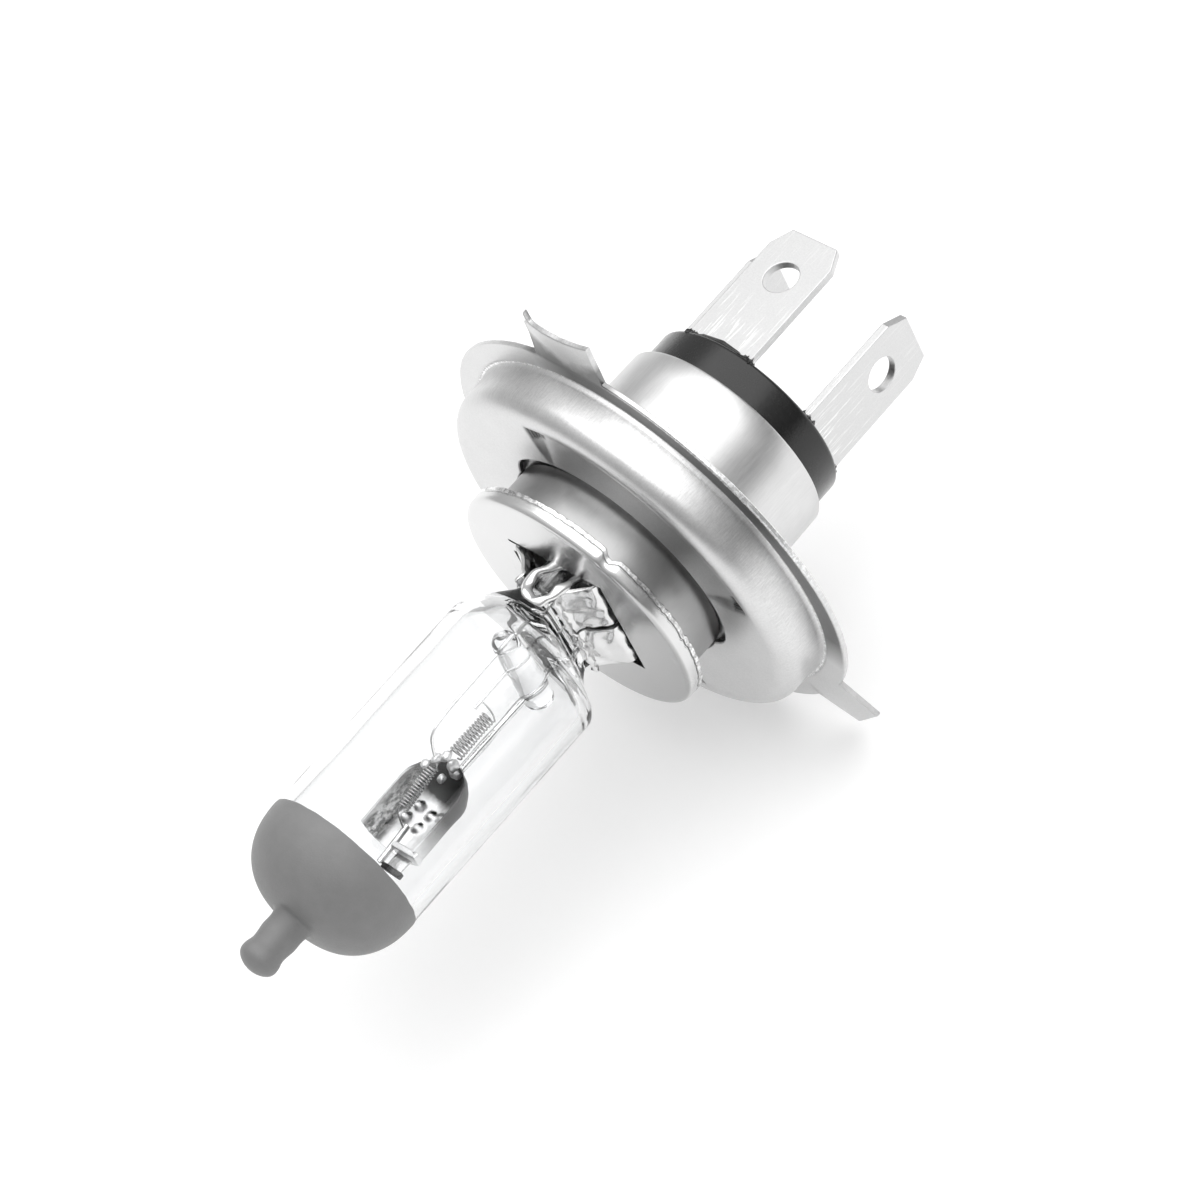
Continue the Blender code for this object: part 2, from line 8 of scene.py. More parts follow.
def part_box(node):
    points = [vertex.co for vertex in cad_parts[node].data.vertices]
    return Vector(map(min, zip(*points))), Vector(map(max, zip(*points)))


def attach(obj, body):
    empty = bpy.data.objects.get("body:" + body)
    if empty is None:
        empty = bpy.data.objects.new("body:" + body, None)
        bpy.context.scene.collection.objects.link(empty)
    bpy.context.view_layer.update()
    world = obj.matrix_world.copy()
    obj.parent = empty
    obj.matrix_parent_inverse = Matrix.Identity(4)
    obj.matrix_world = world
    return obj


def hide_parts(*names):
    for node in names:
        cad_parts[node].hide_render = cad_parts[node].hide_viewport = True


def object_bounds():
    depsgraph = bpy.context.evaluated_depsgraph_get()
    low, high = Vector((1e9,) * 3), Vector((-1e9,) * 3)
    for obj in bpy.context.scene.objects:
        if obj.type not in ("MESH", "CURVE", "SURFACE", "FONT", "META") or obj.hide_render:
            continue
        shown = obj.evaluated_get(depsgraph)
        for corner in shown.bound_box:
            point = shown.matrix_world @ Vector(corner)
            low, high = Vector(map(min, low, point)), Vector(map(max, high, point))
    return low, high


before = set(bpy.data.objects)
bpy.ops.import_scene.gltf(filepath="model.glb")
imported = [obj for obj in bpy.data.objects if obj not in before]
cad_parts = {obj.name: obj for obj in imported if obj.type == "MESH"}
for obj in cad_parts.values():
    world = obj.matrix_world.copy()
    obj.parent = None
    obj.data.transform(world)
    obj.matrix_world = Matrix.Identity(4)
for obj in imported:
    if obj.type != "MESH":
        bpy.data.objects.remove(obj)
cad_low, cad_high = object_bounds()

# The bulb's axis is Y, glass tip towards -Y. Lengths here are millimetres until a piece is finished.
MM = 0.001
SEGMENTS = 160


def span(node):
    """Lowest and highest corner of a CAD node, in millimetres."""
    low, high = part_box(node)
    return low / MM, high / MM


# ---- shader helpers ---------------------------------------------------------------------------

class Value:
    """A shader value on a sheet; arithmetic on it adds Math nodes to that sheet."""

    def __init__(self, sheet, socket):
        self.sheet, self.socket = sheet, socket

    def __add__(self, other):
        return self.sheet.maths("ADD", self, other)

    def __sub__(self, other):
        return self.sheet.maths("SUBTRACT", self, other)

    def __rsub__(self, other):
        return self.sheet.maths("SUBTRACT", other, self)

    def __mul__(self, other):
        return self.sheet.maths("MULTIPLY", self, other)

    def __truediv__(self, other):
        return self.sheet.maths("DIVIDE", self, other)

    __radd__ = __add__
    __rmul__ = __mul__


class Sheet:
    """A node tree being drawn up."""

    def __init__(self, tree):
        self.tree = tree

    def node(self, kind, settings=None, inputs=None, output=0):
        made = self.tree.nodes.new(kind)
        for key, value in (settings or {}).items():
            setattr(made, key, value)
        for key, value in (inputs or {}).items():
            if isinstance(value, Value):
                self.tree.links.new(value.socket, made.inputs[key])
            else:
                made.inputs[key].default_value = value
        return Value(self, made.outputs[output])

    def maths(self, operation, first, second=0.0):
        return self.node("ShaderNodeMath", {"operation": operation}, {0: first, 1: second})

    def parts(self, vector):
        """The three coordinates of a point or a direction."""
        made = self.tree.nodes.new("ShaderNodeSeparateXYZ")
        self.tree.links.new(vector.socket, made.inputs[0])
        return [Value(self, out) for out in made.outputs]

    def ranged(self, value, low, high, to_low, to_high):
        """The value's stretch from low to high, laid over another stretch and held at its ends."""
        return self.node("ShaderNodeMapRange", None,
                         {"Value": value, "From Min": low, "From Max": high,
                          "To Min": to_low, "To Max": to_high})

    def rise(self, value, low, high):
        """0 up to low, 1 from high on."""
        return self.ranged(value, low, high, 0.0, 1.0)

    def fall(self, value, low, high):
        """1 up to low, 0 from high on."""
        return self.ranged(value, low, high, 1.0, 0.0)

    def strongest(self, first, *others):
        """The largest of several values."""
        for other in others:
            first = self.maths("MAXIMUM", first, other)
        return first

    def as_grey(self, value):
        """The number as a grey colour."""
        return self.node("ShaderNodeCombineXYZ", None, {0: value, 1: value, 2: value})


class Finish(Sheet):
    """One material: its constants sit on the shader, and patterns are fed to its sockets."""

    def __init__(self, name, **constants):
        self.material = bpy.data.materials.new(name)
        self.material.use_nodes = True
        super().__init__(self.material.node_tree)
        self.shader = self.tree.nodes["Principled BSDF"]
        for key, value in constants.items():
            self.shader.inputs[key.replace("_", " ")].default_value = value

    def feed(self, socket, value):
        self.tree.links.new(value.socket, self.shader.inputs[socket])

    def place(self):
        """The point on the object, in millimetres."""
        here = self.node("ShaderNodeTexCoord", output="Object")
        return self.node("ShaderNodeVectorMath", {"operation": "SCALE"},
                         {0: here, "Scale": 1.0 / MM})

    def stretched(self, x, y, z):
        """The point with each direction scaled, to draw a pattern out along one of them."""
        return self.node("ShaderNodeVectorMath", {"operation": "MULTIPLY"},
                         {0: self.place(), 1: (x, y, z)})

    def round_axis(self, around, along):
        """Coordinates on a turned wall: around the axis, and along it."""
        x, y, z = self.parts(self.place())
        radius = self.maths("SQRT", x * x + z * z) + 0.001
        return self.node("ShaderNodeCombineXYZ", None,
                         {0: x / radius * around, 1: y * along, 2: z / radius * around})

    def noise(self, vector, scale, detail=3.0, rough=0.5):
        return self.node("ShaderNodeTexNoise", None,
                         {"Vector": vector, "Scale": scale, "Detail": detail, "Roughness": rough})

    def mixed(self, factor, first, second):
        """A colour between two colours."""
        return self.node("ShaderNodeMix", {"data_type": "RGBA"},
                         {0: factor, 6: first, 7: second}, output=2)

    def wall_share(self):
        """1 on walls that run along the axis, 0 on faces square to it."""
        normal = self.node("ShaderNodeNewGeometry", output="Normal")
        return 1.0 - self.maths("ABSOLUTE", self.parts(normal)[1])

    def relief(self, height, depth):
        """Small bumps of the given depth, in millimetres."""
        bump = self.node("ShaderNodeBump", None,
                         {"Strength": 1.0, "Distance": depth * MM, "Height": height})
        self.feed("Normal", bump)


def grey(tone):
    return (tone, tone, tone, 1.0)


# ---- finishes ---------------------------------------------------------------------------------

def pressed_steel(name, tone, rough, draw, mottle, cloudy):
    """Plated sheet: draw marks along the axis on its walls, and a mottle and clouds everywhere."""
    f = Finish(name, Metallic=1.0)
    draws = f.noise(f.round_axis(55.0, 0.35), 3.0, 4.0, 0.6)
    grain = f.noise(f.place(), 5.5, 5.0, 0.7)
    cloud = f.noise(f.place(), 0.32, 3.0, 0.6)
    marks = (draws - 0.5) * f.wall_share() * draw
    spots = (grain - 0.5) * mottle
    shade = f.rise(marks + spots * 0.6 + (cloud - 0.5) * cloudy, -0.4, 0.4)
    colour = f.mixed(shade, grey(tone * 0.8), grey(min(1.0, tone * 1.2)))
    f.feed("Roughness", f.ranged(cloud * 0.5 + grain * 0.5 - marks * 0.4, 0.2, 0.8,
                                 rough - 0.06, rough + 0.1))
    f.relief(grain * mottle * 0.7 + draws * f.wall_share() * draw, 0.012)
    return f, colour, grain


def plain_steel(name, **looks):
    f, colour, _ = pressed_steel(name, **looks)
    f.feed("Base Color", colour)
    return f.material


# The side of the ring where painted shade darkens the flange and painted glints light the outer lip.
SHADE_AND_GLINT_SIDE = math.radians(38.0)
LUG_FOOT = 20.6
TORN_INSET = 3.0


def ring_plate():
    """The ring's steel: painted shade on one side of the flange and at the wide lug's root, painted
    glints on its lips, and torn ends.
    """
    f, colour, grain = pressed_steel("ring_plate", tone=0.66, rough=0.31, draw=1.1, mottle=1.3,
                                     cloudy=0.35)
    cloud = f.noise(f.place(), 0.6, 3.0, 0.6)
    x, y, z = f.parts(f.place())
    radius = f.maths("SQRT", x * x + z * z)
    toward = (x * math.cos(SHADE_AND_GLINT_SIDE) + z * math.sin(SHADE_AND_GLINT_SIDE)) / (radius + 0.001)

    uneven = radius + (grain - 0.5) * 0.5
    band = (f.rise(uneven, CUP_R + 0.25, CUP_R + 0.5)
            * f.fall(uneven, FLANGE_R - 0.35, FLANGE_R - 0.15))
    # Painted shade: the flange's front face is darkened on one side.
    painted_flange_shade = band * f.rise(toward, 0.42, 0.62) * f.fall(y, 0.35, 0.5)
    painted_flange_shade = painted_flange_shade * f.fall(f.wall_share(), 0.3, 0.6)
    colour = f.mixed(painted_flange_shade, colour, grey(0.15))

    # Painted shade: the wide lug is darkened towards its root and lighter further out.
    slant = z - f.maths("ABSOLUTE", x - 0.6) * 0.42 + (cloud - 0.5) * 2.0
    foot = f.ranged(slant, 21.0, 22.4, 0.85, 0.0) * f.rise(z, LUG_FOOT, LUG_FOOT + 0.4)
    colour = f.mixed(foot, colour, grey(0.2))

    # Painted glints: white specks on the inner lip all round, and on the outer lip only on one side.
    painted_glints = f.rise(f.noise(f.place(), 2.6, 3.0, 0.75), 0.5, 0.56)
    inner_lip = (f.rise(radius, CUP_R + 0.08, CUP_R + 0.2)
                 * f.fall(radius, CUP_R + 0.36, CUP_R + 0.46))
    outer_lip = (f.rise(radius, FLANGE_R - 0.4, FLANGE_R - 0.25)
                 * f.ranged(z, LUG_FOOT, LUG_FOOT + 0.3, 0.8, 0.0))
    outer_lip = outer_lip * f.rise(toward, 0.85, 0.95)
    colour = f.mixed(f.strongest(inner_lip, outer_lip) * painted_glints, colour, grey(1.0))

    angle = f.maths("ARCTAN2", z, x)
    inside = (f.rise(radius + (grain - 0.5) * 0.8, 15.1, 15.4)
              * f.fall(radius, STEP_R - 0.1, STEP_R + 0.05))
    first, last = STEPS[0]
    for end in (last - TORN_INSET, first + TORN_INSET):
        off = f.maths("ABSOLUTE", angle - math.radians(end))
        torn = f.fall(off, 0.035, 0.055) * inside
        speck = f.ranged(f.noise(f.round_axis(90.0, 3.0), 2.0, 3.0, 0.7), 0.42, 0.6, 0.1, 0.35)
        colour = f.mixed(torn, colour, f.as_grey(speck))
    f.feed("Base Color", colour)
    return f.material


def cap_plate():
    """The cap's steel: painted shade darkens its face towards one side, and its sheared rear edge is
    speckled, its bright specks painted glints.
    """
    f, colour, _ = pressed_steel("cap_plate", tone=0.7, rough=0.22, draw=0.15, mottle=0.25,
                                 cloudy=0.25)
    x, y, z = f.parts(f.place())
    across = x * 0.75 - z * 0.66
    # Painted shade: the face darkens towards one side.
    painted_face_shade = f.ranged(across, -7.0, 12.0, 0.0, 0.75) * f.fall(f.wall_share(), 0.2, 0.5)
    colour = f.mixed(painted_face_shade, colour, grey(0.3))
    # The sheared rear edge gets a speckled band; its bright specks are painted glints.
    edge = f.rise(y, DISC_REAR - 0.5, DISC_REAR - 0.4)
    speck = f.ranged(f.noise(f.place(), 1.7, 4.0, 0.7), 0.4, 0.6, 0.42, 0.95)
    f.feed("Base Color", f.mixed(edge, colour, f.as_grey(speck)))
    return f.material


def brushed_shell():
    """The base shell's steel: fine brushing and broader bands, both along the axis."""
    f = Finish("brushed_shell", Metallic=1.0, Anisotropic=0.35)
    fine = f.noise(f.round_axis(150.0, 0.5), 3.0, 3.0, 0.65)
    broad = f.noise(f.round_axis(26.0, 0.16), 2.0, 3.0, 0.55)
    cloud = f.noise(f.place(), 0.4, 2.0)
    shade = f.rise(fine * 0.45 + broad * 0.35 + cloud * 0.2, 0.3, 0.7)
    f.feed("Base Color", f.mixed(shade, grey(0.6), grey(0.76)))
    f.feed("Roughness", f.ranged(broad, 0.3, 0.7, 0.33, 0.41))
    f.relief(fine * 0.7 + broad * 0.3, 0.01)
    return f.material


def tinned_blade():
    """Satin tin plate, with streaks along the blade that fade towards its end."""
    f = Finish("tinned_blade", Metallic=1.0)
    y = f.parts(f.place())[1]
    streaks = f.noise(f.stretched(3.0, 0.18, 3.0), 1.6, 3.0, 0.6)
    grain = f.noise(f.place(), 7.0, 4.0, 0.65)
    near_root = f.ranged(y, 14.0, 20.0, 1.0, 0.15)
    lines = f.rise(streaks, 0.57, 0.66) * near_root
    shade = f.rise(grain * 0.5 + lines * 0.7, 0.15, 0.95)
    f.feed("Base Color", f.mixed(shade, grey(0.62), grey(0.95)))
    f.feed("Roughness", f.ranged(grain, 0.3, 0.7, 0.34, 0.46) - lines * 0.12)
    f.relief(grain * 0.5 + lines, 0.01)
    return f.material


def moulded_resin():
    """Black moulded resin with a thin gloss and a fine grain."""
    f = Finish("moulded_resin", Coat_Weight=0.35, Coat_Roughness=0.25)
    f.shader.inputs["Specular IOR Level"].default_value = 0.3
    grain = f.noise(f.place(), 3.2, 4.0, 0.65)
    cloud = f.noise(f.place(), 0.5, 2.0)
    f.feed("Base Color", f.mixed(grain, grey(0.004), grey(0.012)))
    f.feed("Roughness", f.ranged(grain * 0.5 + cloud * 0.5, 0.3, 0.7, 0.16, 0.32))
    f.relief(grain, 0.02)
    return f.material


def satin_coat():
    """Baked grey coat: fine orange peel, slightly cloudy."""
    f = Finish("satin_coat")
    peel = f.noise(f.place(), 6.0, 3.0, 0.6)
    cloud = f.noise(f.place(), 0.5, 3.0, 0.6)
    f.feed("Base Color", f.mixed(f.rise(cloud * 0.7 + peel * 0.3, 0.3, 0.7),
                                 grey(0.19), grey(0.22)))
    f.feed("Roughness", f.ranged(peel, 0.3, 0.7, 0.42, 0.56))
    f.relief(peel, 0.025)
    return f.material


def clear_quartz():
    """Drawn quartz: clear, with faint waviness along the tube."""
    f = Finish("clear_quartz", IOR=1.458)
    f.shader.inputs["Transmission Weight"].default_value = 1.0
    wave = f.noise(f.stretched(0.35, 0.08, 0.35), 1.0, 2.0)
    fine = f.noise(f.place(), 0.9, 2.0)
    f.feed("Base Color", f.mixed(wave, (0.965, 0.972, 0.978, 1.0), (1.0, 1.0, 1.0, 1.0)))
    f.feed("Roughness", f.ranged(fine, 0.3, 0.7, 0.0, 0.02))
    f.relief(wave, 0.05)
    return f.material


def drawn_wire(name, tone, rough):
    """Refractory metal: fine drawing lines, and lighter and darker patches."""
    f = Finish(name, Metallic=1.0)
    grain = f.noise(f.stretched(9.0, 2.0, 9.0), 1.4, 3.0, 0.6)
    cloud = f.noise(f.place(), 0.8, 2.0)
    f.feed("Base Color", f.mixed(f.rise(grain * 0.6 + cloud * 0.4, 0.3, 0.7),
                                 grey(tone * 0.7), grey(min(1.0, tone * 1.25))))
    f.feed("Roughness", f.ranged(grain, 0.3, 0.7, rough - 0.08, rough + 0.08))
    f.relief(grain, 0.008)
    return f.material


def studio_floor():
    """Matt white paper that glows a little, so that its shadows stay light."""
    f = Finish("studio_floor", Roughness=0.9)
    f.shader.inputs["Specular IOR Level"].default_value = 0.1
    f.shader.inputs["Emission Color"].default_value = (1.0, 1.0, 1.0, 1.0)
    f.shader.inputs["Emission Strength"].default_value = 0.38
    soft = f.noise(f.place(), 0.02, 2.0)
    f.feed("Base Color", f.mixed(soft, grey(0.66), grey(0.7)))
    return f.material


# ---- mesh helpers -----------------------------------------------------------------------------

def polar(radius, y, degrees):
    """A point at a distance from the axis; the angle runs from +X towards +Z."""
    angle = math.radians(degrees)
    return Vector((radius * math.cos(angle), y, radius * math.sin(angle)))


def skin(rings, loop=False, poles=None):
    """Faces between rings of points. Open ends are capped, or drawn together to a pole point."""
    bm = bmesh.new()
    rows = [[bm.verts.new(p) for p in ring] for ring in rings]
    count = len(rows[0])
    pairs = list(zip(rows, rows[1:])) + ([(rows[-1], rows[0])] if loop else [])
    for low, high in pairs:
        for i in range(count):
            j = (i + 1) % count
            bm.faces.new((low[i], low[j], high[j], high[i]))
    for k, row in ((0, rows[0]), (1, rows[-1])):
        if poles and poles[k] is not None:
            tip = bm.verts.new(poles[k])
            for i in range(count):
                bm.faces.new((row[i], row[(i + 1) % count], tip))
        elif not loop:
            bm.faces.new(row)
    return bm


def turned(profile, loop=True):
    """A (radius, y) profile turned about the axis; a closed profile gives a ring."""
    angles = [360.0 * i / SEGMENTS for i in range(SEGMENTS)]
    if loop:
        return skin([[polar(r, y, a) for r, y in profile] for a in angles], loop=True)
    return skin([[polar(r, y, a) for a in angles] for r, y in profile])


def arc(centre, radius, first, last, steps):
    """Points of an arc in a (radius, y) profile, angles in degrees."""
    angles = [math.radians(first + (last - first) * i / steps) for i in range(steps + 1)]
    return [(centre[0] + radius * math.cos(a), centre[1] + radius * math.sin(a)) for a in angles]


def smoothed(points, rounds=2):
    """Corner cutting on an open line of points; its ends stay."""
    points = [Vector(p) for p in points]
    for _ in range(rounds):
        cut = [points[0]]
        for a, b in zip(points, points[1:]):
            cut += [a * 0.75 + b * 0.25, a * 0.25 + b * 0.75]
        points = cut + [points[-1]]
    return points


def tube(path, radius, sides):
    """A round wire along a path, with low domed ends."""
    path = [Vector(p) for p in path]
    last = len(path) - 1
    tangents = [(path[min(i + 1, last)] - path[max(i - 1, 0)]).normalized()
                for i in range(last + 1)]
    normal = tangents[0].orthogonal().normalized()
    rings = []
    for i, (point, tangent) in enumerate(zip(path, tangents)):
        if i:
            normal = tangents[i - 1].rotation_difference(tangent) @ normal
        normal = (normal - tangent * normal.dot(tangent)).normalized()
        side = tangent.cross(normal)
        rings.append([point + radius * (math.cos(a) * normal + math.sin(a) * side)
                      for a in [2.0 * math.pi * k / sides for k in range(sides)]])
    dome = radius * 0.35
    return skin(rings, poles=(path[0] - tangents[0] * dome, path[-1] + tangents[-1] * dome))


def block(low, high):
    """A box between two corners."""
    bm = bmesh.new()
    bmesh.ops.create_cube(bm, size=1.0)
    size = [h - l for l, h in zip(low, high)]
    bmesh.ops.scale(bm, vec=size, verts=bm.verts)
    bmesh.ops.translate(bm, vec=[(h + l) / 2.0 for l, h in zip(low, high)], verts=bm.verts)
    return bm


def merged(*parts):
    """One mesh out of several; the parts are used up."""
    whole = bmesh.new()
    for part in parts:
        copy = bpy.data.meshes.new("part")
        part.to_mesh(copy)
        part.free()
        whole.from_mesh(copy)
        bpy.data.meshes.remove(copy)
    return whole


def raw(name, bm, recalc=True):
    """A plain object in millimetres turned to metres, at the origin."""
    if recalc:
        bmesh.ops.recalc_face_normals(bm, faces=bm.faces)
    bmesh.ops.scale(bm, vec=(MM, MM, MM), verts=bm.verts)
    mesh = bpy.data.meshes.new(name)
    bm.to_mesh(mesh)
    bm.free()
    obj = bpy.data.objects.new(name, mesh)
    bpy.context.scene.collection.objects.link(obj)
    return obj


def settled(obj):
    """The object with its modifiers turned into plain mesh."""
    graph = bpy.context.evaluated_depsgraph_get()
    mesh = bpy.data.meshes.new_from_object(obj.evaluated_get(graph))
    obj.modifiers.clear()
    obj.data = mesh
    return obj


def cut_and_join(obj, cuts=(), joins=()):
    """Solids taken from, and added to, an object."""
    helpers = []
    for operation, solids in (("DIFFERENCE", cuts), ("UNION", joins)):
        for bm in solids:
            helper = raw("helper", bm)
            helpers.append(helper)
            modifier = obj.modifiers.new("solid", "BOOLEAN")
            modifier.operation, modifier.object, modifier.solver = operation, helper, "EXACT"
    settled(obj)
    for helper in helpers:
        bpy.data.objects.remove(helper)
    return obj


def soften(obj, width, segments=2, degrees=35.0):
    """Small rounded edges, so that corners catch the light."""
    modifier = obj.modifiers.new("edges", "BEVEL")
    modifier.width, modifier.segments = width * MM, segments
    modifier.limit_method, modifier.angle_limit = "ANGLE", math.radians(degrees)
    return settled(obj)


def fitted(obj, material, slot, *nodes, smooth=35.0):
    """Last step for every piece: finish, shading, body and the CAD nodes it stands for; the slot is
    not used.
    """
    obj.data.materials.clear()
    obj.data.materials.append(material)
    obj.data.shade_smooth()
    obj.data.set_sharp_from_angle(angle=math.radians(smooth))
    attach(obj, "root")
    if nodes:
        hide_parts(*nodes)
    return obj


# ---- locating ring ----------------------------------------------------------------------------

FLANGE_R = span("locating_ring")[1].x
CUP_FRONT = span("locating_ring")[0].y
FLANGE_T = 0.5
CUP_R = 19.0                                # the cup's wall, drawn out of the flange
SHEET = 0.55                                # the cup's floor
SHOULDER = 1.8
STEP_R = 16.65                              # a shallow step is pressed inside this radius
STEP_DEPTH = 0.5
STEP_SLOPE = 3.5                            # degrees that the step takes to slope out
STEPS = ((7.5, 102.5), (187.5, 282.5))      # where each step starts and ends, in degrees
SLEEVE_R = span("sleeve")[1].x
TIGHT_R = SLEEVE_R + 0.12                   # the hole where it grips the sleeve
GAP_R = SLEEVE_R + 1.05                     # the hole in its crescent gap
GAP_SIDE = (-36.0, 140.0)
GAP_EASE = 16.0
LUG_REACH = 25.6
WIDE_LUG, RIGHT_LUG, LEFT_LUG = 90.0, -45.0, -135.0
LUGS = ((WIDE_LUG, 4.0), (RIGHT_LUG, 3.0), (LEFT_LUG, 3.0))      # middle angle, half width
NEARLY = 1e-6


def wrapped(degrees):
    """The same angle between -180 and 180."""
    return (degrees + 180.0) % 360.0 - 180.0


def ragged(degrees, size, pace, seed):
    """How far a torn or burred edge strays at one angle; a higher pace makes it busier."""
    at = polar(pace * 10.0, seed, degrees)
    return size * (noise.noise(at) + 0.5 * noise.noise(at * 3.1))


def lug_root(half):
    """Degrees from a lug's middle to where its side meets the flange."""
    return math.degrees(math.asin(half / FLANGE_R))


def lug_corner(half):
    """Degrees from a lug's middle to its outer corner."""
    return math.degrees(math.atan2(half, LUG_REACH))


def lug_at(degrees):
    """The lug that an angle falls in: its middle angle and its half width."""
    for middle, half in LUGS:
        if abs(wrapped(degrees - middle)) < lug_root(half) - NEARLY:
            return middle, half
    return None


def lug_rim(degrees):
    """Radius of the ring's outer edge, out along a lug's side and across its end."""
    lug = lug_at(degrees)
    if not lug:
        return FLANGE_R
    middle, half = lug
    off = wrapped(degrees - middle)
    if abs(off) <= lug_corner(half) + NEARLY:
        across = math.tan(math.radians(off)) * LUG_REACH / half
        reach = LUG_REACH
        if middle == WIDE_LUG:      # its end is hollowed and runs out to one corner
            reach += -0.75 * across ** 2 * (across > 0) - 0.35 * (1.0 - across ** 2)
        return reach / math.cos(math.radians(off))
    return half / math.sin(math.radians(abs(off)))


def lug_set_back(degrees, radius):
    """How far a lug's sheet is bent rearwards at one place; the right-hand one is twisted too."""
    lug = lug_at(degrees)
    fold = 0.6
    if not lug or radius <= FLANGE_R - fold:
        return 0.0
    middle, half = lug
    out = (radius - FLANGE_R + fold) / (LUG_REACH - FLANGE_R)
    across = radius * math.sin(math.radians(wrapped(degrees - middle))) / half
    if middle == WIDE_LUG:
        return out * (0.4 * max(0.0, across) ** 2 + 0.18 * across ** 2)
    twist = 0.22 if middle == RIGHT_LUG else 0.0
    return out * (0.45 + twist * -across)


def ring_angles():
    """Angles of the ring's sections: even ones, and extra ones wherever its shape changes."""
    marks = []
    for middle, half in LUGS:
        corner, root = lug_corner(half), lug_root(half)
        marks += [middle + s * off for s in (-1, 1) for off in (corner, root - 0.02, root + 0.25)]
        marks += [middle + corner * i / 8.0 for i in range(-8, 9)]
    for first, last in STEPS:
        marks += [first, first + STEP_SLOPE, last - STEP_SLOPE, last]
    for edge in GAP_SIDE:
        marks += [edge, edge + 0.7, edge - 0.7]
    even = [1.5 * i for i in range(240)]
    angles = {round(m % 360.0, 3) for m in marks}
    angles |= {e for e in even if min(abs(wrapped(e - m)) for m in marks) > 0.3}
    return sorted(angles)


def hole_edge(degrees):
    """The hole's edge: close on the sleeve, but for the crescent gap that eases in and out."""
    first, last = GAP_SIDE
    inward = min(wrapped(degrees) - first, last - wrapped(degrees))
    wide = max(0.0, min(1.0, inward / GAP_EASE))
    return TIGHT_R + (GAP_R - TIGHT_R) * wide * (2.0 - wide) + ragged(degrees, 0.03, 0.7, 3.0)


def step_at(degrees):
    """Depth of the pressed step; it is torn deeper near both ends, where it slopes out."""
    for first, last in STEPS:
        middle, half = (first + last) / 2.0, (last - first) / 2.0
        inward = half - abs(wrapped(degrees - middle))
        if inward >= 0.0:
            torn = 1.0 + 0.3 * math.exp(-((inward - STEP_SLOPE) / 3.0) ** 2)
            return min(1.0, inward / STEP_SLOPE) * STEP_DEPTH * torn
    return 0.0


def ring_section(degrees):
    """(radius, y) round the ring's sheet: rim, flange front, cup wall, floor, hole and back."""
    rim = lug_rim(degrees)
    depth = step_at(degrees)
    torn = STEP_R + (ragged(degrees, 0.1, 1.4, 5.0) if depth else 0.0)
    hole = hole_edge(degrees)
    burr = ragged(degrees, 0.05, 2.2, 7.0)
    bevel = 0.09
    front, rear = CUP_FRONT, CUP_FRONT + SHEET
    far, near = 0.7 * rim + 6.0, 0.35 * rim + 12.9
    rim_back, far_back, near_back = [lug_set_back(degrees, r) for r in (rim, far, near)]
    shoulder_centre = (CUP_R - SHOULDER - 0.05, front + SHOULDER)
    points = [(rim - bevel + burr, FLANGE_T + rim_back), (rim + burr, FLANGE_T - bevel + rim_back),
              (rim + burr * 0.5, bevel + rim_back), (rim - bevel, rim_back),
              (far, far_back), (near, near_back),
              (CUP_R + 0.62, 0.0), (CUP_R + 0.42, 0.02), (CUP_R + 0.3, 0.1), (CUP_R + 0.12, 0.08),
              (CUP_R + 0.03, -0.12), (CUP_R, -0.4), (CUP_R - 0.02, -1.2), (CUP_R - 0.05, -2.2)]
    points += arc(shoulder_centre, SHOULDER, 0.0, -90.0, 10)
    points += [(torn + 0.22, front + 0.01), (torn + 0.06, front + 0.05 * (depth > 0)),
               (torn, front + depth)]
    for share in (0.75, 0.5, 0.25):
        points.append((hole + (STEP_R - hole) * share, front + depth * share ** 0.8))
    points += [(hole + 0.1, front), (hole, front + 0.1), (hole, rear - 0.1), (hole + 0.1, rear)]
    for share in (0.5, 1.0):
        points.append((hole + (STEP_R - hole) * share, rear + depth * share))
    points += arc(shoulder_centre, SHOULDER - SHEET, -90.0, 0.0, 6)
    points += [(CUP_R - SHEET, FLANGE_T - 0.3), (CUP_R - SHEET + 0.3, FLANGE_T),
               (near, FLANGE_T + near_back), (far, FLANGE_T + far_back)]
    return points


def lug_wing():
    """The spike that stands up from the wide lug's corner."""
    thick = 0.28
    front_face = [Vector(p) for p in ((-3.98, 0.35, 21.6), (-3.8, 0.55, 24.0), (-2.7, 0.35, 24.6))]
    rear_face = [p + Vector((0.0, thick, 0.0)) for p in front_face]
    top = Vector((-4.15, 0.55, 24.75))
    bm = bmesh.new()
    a = [bm.verts.new(p) for p in front_face]
    b = [bm.verts.new(p) for p in rear_face]
    t1, t2 = bm.verts.new(top), bm.verts.new(top + Vector((0.05, 0.14, -0.05)))
    bm.faces.new((a[0], t1, a[1]))
    bm.faces.new((a[1], t1, a[2]))
    bm.faces.new((b[1], t2, b[0]))
    bm.faces.new((b[2], t2, b[1]))
    bm.faces.new((a[0], b[0], t2, t1))
    bm.faces.new((t1, t2, b[2], a[2]))
    bm.faces.new((a[0], a[1], b[1], b[0]))
    bm.faces.new((a[1], a[2], b[2], b[1]))
    return bm


def make_locating_ring(steel):
    rings = [[polar(r, y, a) for r, y in ring_section(a)] for a in ring_angles()]
    ring = raw("ring", skin(rings, loop=True))
    fitted(ring, steel, "ring_steel", "locating_ring", smooth=32.0)
    fitted(raw("lug_wing", lug_wing()), steel, "ring_steel", smooth=20.0)


# ---- front cap, sleeve ------------------------------------------------------------------------

DISC_R, DISC_REAR = span("front_cap")[1].x, span("front_cap")[1].y
DISC_FRONT = DISC_REAR - 1.7
CAP_SHEET = 0.4
WINDOW_X, WINDOW_Z = 5.7, 5.85              # half sizes of the opening round the pinch
PINCH_X, PINCH_Z = span("pinch_seal")[1].x, span("pinch_seal")[1].z


